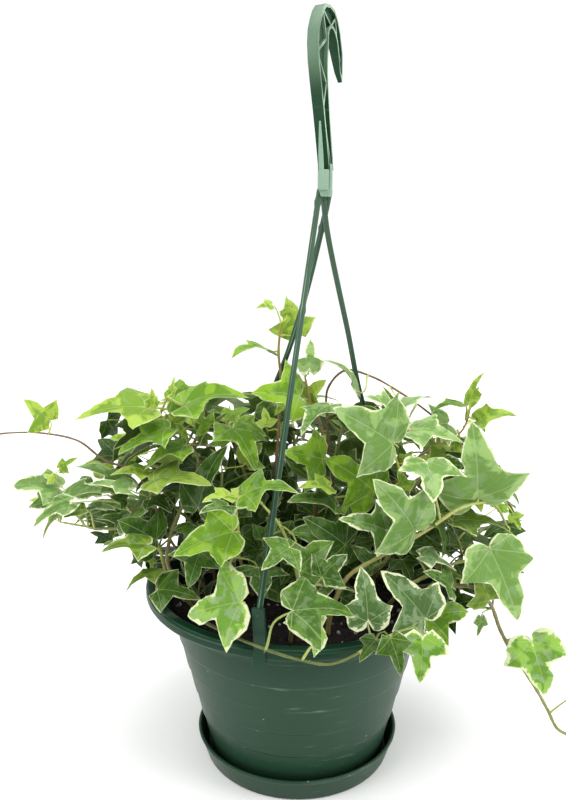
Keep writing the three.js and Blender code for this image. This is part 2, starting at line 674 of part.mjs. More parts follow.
// A blade's outline on one side of its midrib, for a midrib of 1: the points are
// [out, along], from the notch to the shoulder of the long middle lobe.
const BASAL_TIP = [0.3, -0.13];
const LOWER_BAY = [0.43, 0.03];
const SIDE_TIP = [0.57, 0.28];
const UPPER_BAY = [0.27, 0.41];
const SHOULDER = [0.2, 0.64];
const BLADE_MIDDLE = 0.34;
const FULL_BLADE = 34;
const PLAIN_BLADE = 26;
const BLADE_ARCH = 0.07;
const BLADE_FOLD = 0.27;
const BLADE_CURL = 0.34;

// How far apart samples of a blade and of a stem or petiole may lie.
const BLADE_SAMPLE = 2.2;
const BLADE_REACH = 1.5;
const LINE_REACH = 0.75;
const SPARE = 0.3;

// A repeatable draw between 0 and 1.
function makeDraw(seed) {
  let state = seed;
  return () => {
    state = (state * 48271) % 2147483647;
    return state / 2147483647;
  };
}

const draw = makeDraw(20817);

function spread(low, high) {
  return low + (high - low) * draw();
}

// Points taken up so far, in a grid of cells, each with its radius and owner.
const CELL = 5;
const taken = new Map();

function cellKey(x, y, z) {
  return `${Math.floor(x / CELL)},${Math.floor(y / CELL)},${Math.floor(z / CELL)}`;
}

function take(samples, vine, leaf) {
  for (const sample of samples) {
    const key = cellKey(sample.at.x, sample.at.y, sample.at.z);
    if (!taken.has(key)) taken.set(key, []);
    taken.get(key).push({ ...sample, vine, leaf });
  }
}

// Whether a sample meets another vine, the hanger, or a blade of its own vine. A petiole
// may pass through a blade of its own vine where nothing else is free.
function crowded(sample, vine, leaf, strict) {
  const { x, y, z } = sample.at;
  for (let i = -1; i <= 1; i += 1) {
    for (let j = -1; j <= 1; j += 1) {
      for (let k = -1; k <= 1; k += 1) {
        const others = taken.get(cellKey(x + i * CELL, y + j * CELL, z + k * CELL)) || [];
        for (const other of others) {
          const own = other.vine === vine;
          const both = sample.blade && other.blade;
          if (own && (other.leaf === leaf || !(both || (strict && (sample.blade || other.blade))))) {
            continue;
          }
          const apart = own
            ? 1.8
            : Math.hypot(sample.reach + other.reach, sample.radius + other.radius + SPARE);
          if (sample.at.distanceToSquared(other.at) < apart * apart) return true;
        }
      }
    }
  }
  return false;
}

// Whether a point is inside the pot's wall, the soil, the saucer or the ground.
function buried({ at, radius }) {
  const out = Math.hypot(at.x, at.y);
  if (at.z < radius + GAP) return true;
  if (at.z > RIM_TOP + radius + 0.5) return false;
  const lipBottom = RIM_TOP - LIP_HEIGHT;
  const inMouth = at.z > SOIL_EDGE_Z && out < MOUTH_RADIUS - 4 - radius;
  if (inMouth) return at.z < soilTop(out) + radius + 0.6;
  if (at.z > lipBottom - 4) return out < RIM_RADIUS + radius + 0.6;
  const outer = LOWEST_RING_RADIUS + ((at.z - LOWEST_RING_Z) * RING_STEP) / RING_PITCH + 4;
  return out < Math.max(outer, at.z < SAUCER_LIP_Z + 2 ? SAUCER_LIP_RADIUS + 1 : 0) + radius;
}

// Whether a point is seen inside the foliage's outline.
function behind(at) {
  const away = at.clone().sub(EYE);
  const ahead = VIEW_COS * away.y - VIEW_SIN * away.z;
  const column = VIEW_MIDDLE[0] + (VIEW_FOCAL * away.x) / ahead;
  const row = VIEW_MIDDLE[1] - (VIEW_FOCAL * (VIEW_SIN * away.y + VIEW_COS * away.z)) / ahead;
  let inside = false;
  SILHOUETTE.forEach(([x, y], i) => {
    const [u, v] = SILHOUETTE[(i + 1) % SILHOUETTE.length];
    if (y > row !== v > row && column < x + ((u - x) * (row - y)) / (v - y)) inside = !inside;
  });
  return inside;
}

function lineSamples(points, radius) {
  const samples = [];
  for (let i = 0; i + 1 < points.length; i += 1) {
    const count = Math.max(1, Math.ceil(points[i].distanceTo(points[i + 1]) / 1.5));
    for (let j = 0; j < count; j += 1) {
      const at = points[i].clone().lerp(points[i + 1], j / count);
      samples.push({ at, radius, reach: LINE_REACH, blade: false });
    }
  }
  samples.push({ at: points[points.length - 1], radius, reach: LINE_REACH, blade: false });
  return samples;
}

function courseLength(points) {
  let length = 0;
  for (let i = 0; i + 1 < points.length; i += 1) length += points[i].distanceTo(points[i + 1]);
  return length;
}

// Points at equal distances along a broken line.
function evenly(points, count) {
  const length = courseLength(points);
  const even = [];
  let passed = 0;
  let from = 0;
  for (let i = 0; i < count; i += 1) {
    const target = (length * i) / count;
    while (passed + points[from].distanceTo(points[from + 1]) < target) {
      passed += points[from].distanceTo(points[from + 1]);
      from += 1;
    }
    const share = (target - passed) / points[from].distanceTo(points[from + 1]);
    even.push(points[from].clone().lerp(points[from + 1], share));
  }
  even.push(points[points.length - 1].clone());
  return even;
}

// A smooth course through a few points: the ends of its straight pieces, and points
// about two millimetres apart along them.
function course(points) {
  const curve = new THREE.CatmullRomCurve3(points, false, 'centripetal');
  const dense = [];
  for (let i = 0; i + 1 < points.length; i += 1) {
    const count = Math.max(1, Math.ceil(points[i].distanceTo(points[i + 1]) / 2));
    for (let j = 0; j < count; j += 1) {
      dense.push(curve.getPoint((i + j / count) / (points.length - 1)));
    }
  }
  dense.push(points[points.length - 1].clone());
  const stations = evenly(dense, Math.max(2, Math.ceil(courseLength(dense) / STEM_STEP)));
  const fine = [];
  for (let i = 0; i + 1 < stations.length; i += 1) {
    for (let j = 0; j < 7; j += 1) fine.push(stations[i].clone().lerp(stations[i + 1], j / 7));
  }
  fine.push(stations[stations.length - 1]);
  return { stations, fine };
}

function nearest(points, target) {
  let best = 0;
  for (let i = 1; i < points.length; i += 1) {
    if (points[i].distanceToSquared(target) < points[best].distanceToSquared(target)) best = i;
  }
  return best;
}

// A stem starts upright in its hole in the soil.
function rooted([x, y], onward) {
  const top = soilTop(Math.hypot(x, y));
  return [
    new THREE.Vector3(x, y, top - ROOT_DEPTH),
    new THREE.Vector3(x, y, top - 4),
    new THREE.Vector3(x, y, top + 3),
    ...onward,
  ];
}

// A blade's own axes: along its midrib, across it, and out of its upper face.
function bladeFrame(at, tip, face) {
  const along = tip.clone().sub(at);
  const length = along.length();
  along.divideScalar(length);
  const normal = face.clone().addScaledVector(along, -face.dot(along)).normalize();
  const across = new THREE.Vector3().crossVectors(along, normal);
  return { at, length, along, normal, across };
}

function facedBlade(at, tip, tilt) {
  const flat = bladeFrame(at, tip, EYE.clone().sub(at));
  const side = new THREE.Vector3().crossVectors(flat.along, flat.normal);
  const skyward = Math.abs(side.z) < 0.15 ? Math.sign(side.x) : Math.sign(side.z);
  const angle = THREE.MathUtils.degToRad(tilt) * skyward;
  const face = flat.normal.clone().multiplyScalar(Math.cos(angle));
  return bladeFrame(at, tip, face.addScaledVector(side, Math.sin(angle)));
}

// A blade arches from its notch to its apex, folds up from the midrib and curls down
// again towards its side lobes.
function bladeRise(leaf, out, along) {
  const arch = leaf.arch * 4 * along * (1 - along);
  return arch + BLADE_FOLD * Math.abs(out) - BLADE_CURL * out * out;
}

function bladePoint(leaf, out, along, lift) {
  const point = leaf.at.clone().addScaledVector(leaf.along, along * leaf.length);
  point.addScaledVector(leaf.across, out * leaf.wide * leaf.length);
  return point.addScaledVector(leaf.normal, bladeRise(leaf, out, along) * leaf.length + lift);
}

function bladeOutline(leaf) {
  const notch = [PETIOLE_HALF / (leaf.length * leaf.wide), 0];
  let half = [notch, BASAL_TIP, LOWER_BAY, SIDE_TIP, UPPER_BAY, SHOULDER];
  if (leaf.length < FULL_BLADE) half = [notch, BASAL_TIP, LOWER_BAY, SIDE_TIP, UPPER_BAY];
  if (leaf.length < PLAIN_BLADE) half = [notch, BASAL_TIP, SIDE_TIP, UPPER_BAY];
  const mirrored = half.map(([out, along]) => [-out, along]).reverse();
  return [...half, [0, 1], ...mirrored];
}

function bladeSamples(leaf) {
  const outline = bladeOutline(leaf);
  const samples = [];
  for (let i = 0; i < outline.length; i += 1) {
    const from = outline[i];
    const to = outline[(i + 1) % outline.length];
    const edge = Math.hypot(to[0] - from[0], to[1] - from[1]);
    const spoke = Math.hypot(from[0], from[1] - BLADE_MIDDLE);
    const count = Math.max(1, Math.ceil((Math.max(edge, spoke) * leaf.length) / BLADE_SAMPLE));
    for (let j = 0; j <= count; j += 1) {
      for (let k = 0; k < (j === 0 ? 1 : j); k += 1) {
        const share = j / count;
        const turn = j === 0 ? 0 : k / j;
        const rimOut = from[0] + (to[0] - from[0]) * turn;
        const rimAlong = from[1] + (to[1] - from[1]) * turn;
        const out = rimOut * share;
        const along = BLADE_MIDDLE + (rimAlong - BLADE_MIDDLE) * share;
        const at = bladePoint(leaf, out, along, 0);
        samples.push({ at, radius: BLADE_HALF, reach: BLADE_REACH, blade: true });
      }
    }
  }
  return samples;
}

// A petiole leaves its blade backwards, and bends to its place on the stem.
function petioleCourse(leaf, root) {
  const gapToRoot = root.clone().sub(leaf.at);
  const distance = gapToRoot.length();
  const under = Math.sign(gapToRoot.dot(leaf.normal)) || -1;
  const lead = Math.min(Math.max(distance * 0.3, 3), 14);
  const bend = leaf.at.clone().addScaledVector(leaf.along, -lead);
  bend.addScaledVector(leaf.normal, under * lead * 0.5);
  const foot = root.clone().addScaledVector(gapToRoot, -0.3);
  foot.z += Math.min(distance * 0.12, 4);
  const curve = new THREE.CubicBezierCurve3(leaf.at, bend, foot, root);
  const points = [];
  for (let i = 0; i <= 8; i += 1) points.push(curve.getPoint(i / 8));
  return points;
}

function clear(samples, vine, index, strict) {
  return !samples.some((sample) => buried(sample) || crowded(sample, vine, index, strict));
}

// Seats a leaf where its blade is clear: its petiole takes the first foot that is free.

function seat(leaf, feet, vine, index, strict) {
  const blade = bladeSamples(leaf);
  if (!clear(blade, vine, index, strict)) return null;
  for (const foot of feet) {
    if (foot.distanceTo(leaf.at) < 4) continue;
    const petiole = petioleCourse(leaf, foot);
    const line = lineSamples(petiole, PETIOLE_HALF * 1.2);
    if (!clear(line, vine, index, strict)) continue;
    take(blade, vine, index);
    take(line, vine, index);
    return { ...leaf, petiole };
  }
  return null;
}

// A leaf that was read keeps its place in the view and moves along the line of sight
// until it is clear. Its petiole stands on the stem near the blade.
const SIGHT_STEPS = [0, 3, -3, 6, -6, 10, -10, 14, -14, 19, -19, 25, -25];
const FOOT_STEPS = [0, -4, 4, -8, 8, -13];

function seatRead(entry, stems, vine, index) {
  const joined = stems.flatMap((stem) => stem.fine);
  const strictly = SIGHT_STEPS.map((step) => [step, true]);
  const loosely = SIGHT_STEPS.map((step) => [step, false]);
  for (const [step, strict] of [...strictly, ...loosely]) {
    const at = spot([entry.at[0], entry.at[1], entry.at[2] + step]);
    const tip = spot([entry.tip[0], entry.tip[1], entry.tip[2] + step]);
    const frame = facedBlade(at, tip, entry.tilt);
    const leaf = { ...frame, wide: entry.wide || 1, arch: entry.arch || BLADE_ARCH, tone: entry.tone };
    const middle = nearest(joined, leaf.at);
    const feet = FOOT_STEPS.map((move) => joined[Math.min(Math.max(middle + move, 8), joined.length - 1)]);
    const seated = seat(leaf, feet, vine, index, strict);
    if (seated) return seated;
  }
  return null;
}

function randomUnit() {
  return new THREE.Vector3(spread(-1, 1), spread(-1, 1), spread(-1, 1));
}

// A leaf by rule: it stands off the stem on alternate sides and looks out and up.
function seatByRule(stem, share, side, size, vine, index) {
  for (let attempt = 0; attempt < LEAF_TRIES; attempt += 1) {
    const place = Math.round((stem.length - 1) * share);
    const foot = stem[place];
    const heading = stem[Math.min(place + 1, stem.length - 1)].clone().sub(stem[place - 1]);
    heading.normalize();
    const outward = new THREE.Vector3(foot.x, foot.y, 0).normalize();
    const lateral = new THREE.Vector3().crossVectors(heading, UP).normalize();
    lateral.multiplyScalar(side);
    const stalk = heading.clone().multiplyScalar(0.35);
    stalk.addScaledVector(lateral, 0.8).addScaledVector(UP, 0.45);
    stalk.addScaledVector(randomUnit(), 0.45).normalize();
    const at = foot.clone().addScaledVector(stalk, spread(0.45, 0.8) * size);
    const along = outward.clone().multiplyScalar(0.75).addScaledVector(lateral, 0.45);
    along.addScaledVector(UP, -0.25).addScaledVector(randomUnit(), 0.5).normalize();
    const face = UP.clone().multiplyScalar(0.75).addScaledVector(outward, 0.6);
    face.addScaledVector(randomUnit(), 0.45);
    const length = size * spread(0.85, 1.15);
    const frame = bladeFrame(at, at.clone().addScaledVector(along, length), face);
    const leaf = { ...frame, wide: spread(0.9, 1.2), arch: spread(0.04, 0.14), tone: 'rule' };
    const corners = [[0, 1], SIDE_TIP, [-SIDE_TIP[0], SIDE_TIP[1]]];
    if (!corners.every(([out, up]) => behind(bladePoint(leaf, out, up, 0)))) continue;
    const seated = seat(leaf, [foot], vine, index, true);
    if (seated) return seated;
  }
  return null;
}

function ruleRoute(azimuth, { rootRadius, reach: furthest, peak, end }) {
  const angle = THREE.MathUtils.degToRad(azimuth);
  const reach = furthest * (1 - SIDE_SAVING * Math.abs(Math.sin(angle)));
  const at = (radius, z, swing) => new THREE.Vector3(
    radius * Math.sin(angle + swing),
    -radius * Math.cos(angle + swing),
    z,
  );
  const swing = spread(-0.25, 0.25);
  return {
    root: [rootRadius * Math.sin(angle), -rootRadius * Math.cos(angle)],
    onward: [
      at(rootRadius + (reach - rootRadius) * 0.15, RIM_TOP + (peak - RIM_TOP) * 0.55, 0),
      at(rootRadius + (reach - rootRadius) * 0.5, peak, swing * 0.4),
      at(rootRadius + (reach - rootRadius) * 0.8, peak - (peak - end) * 0.25, swing * 0.8),
      at(reach, end, swing),
    ],
  };
}

// Each vine by rule takes the first course that is clear of the others and stays behind
// the foliage's outline.
function growRuleVine(index, vine) {
  const tier = RULE_TIERS[index % RULE_TIERS.length];
  for (let attempt = 0; attempt < VINE_TRIES; attempt += 1) {
    const turn = RULE_FROM + ((RULE_TO - RULE_FROM) * index) / (RULE_VINES - 1);
    const shape = {
      rootRadius: tier.rootRadius + spread(-5, 5),
      reach: tier.reach + spread(-12, 12),
      peak: tier.peak + spread(-8, 8),
      end: tier.end + spread(-10, 10),
    };
    const route = ruleRoute(turn + spread(-7, 7), shape);
    const stem = course(rooted(route.root, route.onward));
    const line = lineSamples(stem.fine, STEM_RADIUS);
    const upper = line.filter((sample) => sample.at.z > RIM_TOP - 3);
    if (!stem.stations.slice(3).every(behind)) continue;
    if (line.some((sample) => crowded(sample, vine, -1, false)) || upper.some(buried)) continue;
    take(line, vine, -1);
    const name = `vine_back_${vine - VINES.length + 1}`;
    plants.push({ name, root: route.root, count: tier.leaves, stems: [stem] });
    return;
  }
}

// The hanger's strands and clips are taken first, then every stem, then the leaves.
const HANGER_OWNER = -1;
for (const strand of STRANDS) {
  take(lineSamples(strandPath(strand).getSpacedPoints(120), STRAND_RADIUS), HANGER_OWNER, 0);
  const angle = THREE.MathUtils.degToRad(strand.azimuth);
  const clipAt = (radius, z) => new THREE.Vector3(
    radius * Math.sin(angle),
    -radius * Math.cos(angle),
    z,
  );
  const low = clipAt(RIM_RADIUS + 1.6, RIM_TOP - LIP_HEIGHT - 1);
  const column = [low, clipAt(RIM_RADIUS + 1.6, CLIP_TOP_Z)];
  const finger = [clipAt(RIM_RADIUS - 3, RIM_TOP + 1), clipAt(RIM_RADIUS + 1, RIM_TOP + 1)];
  take(lineSamples(column, 2.6), HANGER_OWNER, 0);
  take(lineSamples(finger, 2.6), HANGER_OWNER, 0);
}

function readStems(vine) {
  const onward = vine.route.map(spot);
  for (const [x, y] of vine.ground || []) onward.push(new THREE.Vector3(x, y, STEM_RADIUS + GAP));
  const main = course(rooted(vine.root, onward));
  const branches = vine.branches.map((route) => {
    const points = route.map(spot);
    points[0] = main.fine[nearest(main.fine, points[0])].clone();
    return course(points);
  });
  return [main, ...branches];
}

const plants = [];
for (const vine of VINES) {
  plants.push({ name: vine.name, root: vine.root, entries: vine.leaves, stems: readStems(vine) });
}
plants.forEach((plant, vine) => {
  for (const stem of plant.stems) take(lineSamples(stem.fine, STEM_RADIUS), vine, -1);
});
plants.forEach((plant, vine) => {
  plant.leaves = plant.entries.map((entry, i) => seatRead(entry, plant.stems, vine, i));
});
for (let i = 0; i < RULE_VINES; i += 1) growRuleVine(i, plants.length);
plants.forEach((plant, vine) => {
  if (!plant.count) return;
  const stem = plant.stems[0].fine;
  plant.leaves = [];
  for (let i = 0; i < plant.count; i += 1) {
    const share = 0.4 + (0.58 * i) / (plant.count - 1);
    const size = i === plant.count - 1 ? spread(17, 21) : spread(29, 37);
    plant.leaves.push(seatByRule(stem, share, i % 2 ? 1 : -1, size, vine, i));
  }
});
for (const plant of plants) plant.leaves = plant.leaves.filter((leaf) => leaf);

// A leaf's solid: the blade's two faces and edge, and a four-sided petiole that grows
// out of the notch and ends inside the stem.
function makeLeaf(leaf) {
  const outline = bladeOutline(leaf);
  const count = outline.length;
  const points = [];
  for (const lift of [BLADE_HALF, -BLADE_HALF]) {
    for (const [out, along] of outline) points.push(bladePoint(leaf, out, along, lift));
  }
  for (const lift of [BLADE_HALF, -BLADE_HALF]) points.push(bladePoint(leaf, 0, BLADE_MIDDLE, lift));
  const faces = [];
  for (let i = 0; i < count; i += 1) {
    const next = (i + 1) % count;
    faces.push([2 * count, i, next], [2 * count + 1, next + count, i + count]);
    if (i < count - 1) faces.push([i, i + count, next + count], [i, next + count, next]);
  }
  const long = courseLength(leaf.petiole) > 20;
  const sections = long ? [4, 8] : [8];
  let ring = [0, count - 1, 2 * count - 1, count];
  let across = leaf.across.clone();
  for (let i = 1; i < leaf.petiole.length; i += 1) {
    const ahead = leaf.petiole[Math.min(i + 1, 8)].clone().sub(leaf.petiole[i - 1]).normalize();
    across.addScaledVector(ahead, -across.dot(ahead)).normalize();
    if (!sections.includes(i)) continue;
    const over = new THREE.Vector3().crossVectors(ahead, across);
    const half = i === 8 ? PETIOLE_FOOT_HALF : PETIOLE_HALF;
    const start = points.length;
    for (const [x, y] of [[1, 1], [-1, 1], [-1, -1], [1, -1]]) {
      const corner = leaf.petiole[i].clone().addScaledVector(across, x * half);
      points.push(corner.addScaledVector(over, y * half));
    }
    const next = [start, start + 1, start + 2, start + 3];
    for (let side = 0; side < 4; side += 1) {
      const turn = (side + 1) % 4;
      faces.push([ring[side], ring[turn], next[turn]], [ring[side], next[turn], next[side]]);
    }
    ring = next;
  }
  faces.push([ring[0], ring[1], ring[2]], [ring[0], ring[2], ring[3]]);
  const geometry = new THREE.BufferGeometry().setFromPoints(points);
  geometry.setIndex(faces.flat());
  return solid(geometry);
}

function makeStem({ stations }) {
  const path = new THREE.CatmullRomCurve3(stations, false, 'centripetal');
  return tube(path, STEM_RADIUS, STEM_SIDES, stations.length - 1);
}

function makeVine(plant) {
  return join([...plant.stems.map(makeStem), ...plant.leaves.map(makeLeaf)]);
}

function makeRootHole({ root: [x, y] }) {
  const hole = new THREE.CylinderGeometry(ROOT_HOLE_RADIUS, ROOT_HOLE_RADIUS, ROOT_DEPTH + 8, 5);
  hole.rotateX(Math.PI / 2);
  hole.translate(x, y, soilTop(Math.hypot(x, y)) - ROOT_DEPTH / 2 + 4 - GAP * 2);
  return solid(hole);
}

const LEAF_GREEN = 0x7d9a55;

place('pot', makePot(), 0x2b5a47, 0.38);
place('saucer', makeSaucer(), 0x35604f, 0.4);
place('soil', makeSoil(plants.map(makeRootHole)), 0x2b211a, 0.95);
place('hanger_hook', makeHook(), 0x4d7f66, 0.35);
place('hanger_boss', makeBoss(STRANDS.map(makeSocket)), 0x9dbfa5, 0.4);
for (const strand of STRANDS) place(strand.name, makeStrand(strand), 0x5f8f7c, 0.35);
for (const plant of plants) place(plant.name, makeVine(plant), LEAF_GREEN, 0.5);

export default group;
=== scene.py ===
"""A potted variegated english ivy in a green hanging pot that stands on its saucer.

The plant is grown by the same rule and from the same listed stems as its solids, then
every stem, petiole and leaf is made fine. The pot, saucer, soil and hanger are modelled
to replace their plain solids. Lengths are in millimetres until a mesh is written.
"""

import itertools
import math

import bmesh
import bpy
import numpy as np
from bpy.props import FloatProperty, FloatVectorProperty, IntProperty, PointerProperty
from mathutils import Matrix, Vector, noise


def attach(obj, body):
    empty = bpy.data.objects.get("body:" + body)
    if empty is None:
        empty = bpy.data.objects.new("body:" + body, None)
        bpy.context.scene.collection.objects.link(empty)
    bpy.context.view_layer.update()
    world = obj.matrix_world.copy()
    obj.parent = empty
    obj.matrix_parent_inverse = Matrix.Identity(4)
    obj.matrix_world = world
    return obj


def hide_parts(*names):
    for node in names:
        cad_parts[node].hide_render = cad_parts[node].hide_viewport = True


bl_info = {
    "name": "Potted Variegated English Ivy",
    "version": (1, 0, 0),
    "blender": (4, 5, 0),
    "location": "View3D > Sidebar > Ivy",
    "description": "Builds a potted variegated english ivy with its hanging pot",
    "category": "Object",
}

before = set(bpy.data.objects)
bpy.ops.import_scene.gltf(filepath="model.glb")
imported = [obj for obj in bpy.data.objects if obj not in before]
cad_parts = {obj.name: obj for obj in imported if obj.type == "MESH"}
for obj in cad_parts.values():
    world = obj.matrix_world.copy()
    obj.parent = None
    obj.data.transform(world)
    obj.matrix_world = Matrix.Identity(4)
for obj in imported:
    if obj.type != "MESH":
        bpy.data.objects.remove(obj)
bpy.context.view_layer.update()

MM = 0.001

# The pot, as in its solids.
RIM_TOP = 98.4
RIM_RADIUS = 80.0
MOUTH_RADIUS = 74.0
LIP_HEIGHT = 5.5
WALL = 1.6
RING_COUNT = 5
RING_PITCH = 14.56
RING_STEP = 3.7
LOWEST_RING_Z = 25.96
LOWEST_RING_RADIUS = 52.6
RING_LEDGE = 0.8
FOOT_Z = 2.1
INNER_FLOOR_Z = 5.8
NECK_Z = LOWEST_RING_Z + RING_PITCH * (RING_COUNT - 1)
NECK_RADIUS = LOWEST_RING_RADIUS + RING_STEP * (RING_COUNT - 1)

# The saucer and the soil.
SAUCER_FLOOR = 1.8
SAUCER_BASE_RADIUS = 49.0
SAUCER_LIP_RADIUS = 54.4
SAUCER_LIP_Z = 13.3
SOIL_EDGE_Z = 87.0
SOIL_CROWN_Z = 90.5
GAP = 0.3

# The hanger.
STRAND_RADIUS = 1.4
BOSS_CENTRE = np.array([12.1, -7.5, 301.4])
BOSS_HEIGHT = 14.6
CLIP_TOP_Z = 119.0

# The ivy.
STEM_RADIUS = 1.25
STEM_STEP = 16.0
PETIOLE_HALF = 0.75
BLADE_HALF = 0.4
ROOT_DEPTH = 12.0

# The view in which the stems and leaves were read: the eye, the tilt of its axis and the
# middle of a frame of 566 by 800 pixels, with the focal length in pixels.
EYE = np.array([-7.7, -398.7, 279.7])
VIEW_COS = 0.9776
VIEW_SIN = 0.2103
VIEW_MIDDLE = (283.0, 400.0)
VIEW_FOCAL = 800.0
AIM = np.array([-7.7, 0.0, 193.9])

UP = np.array([0.0, 0.0, 1.0])

# Where the draws for growth and for the shapes of leaves and stems start.
GROWTH_SEED = 20817
SHAPE_SEED = 60113

# How many steps turned pieces have.
TURN_STEPS = 128
SOIL_STEPS = 120
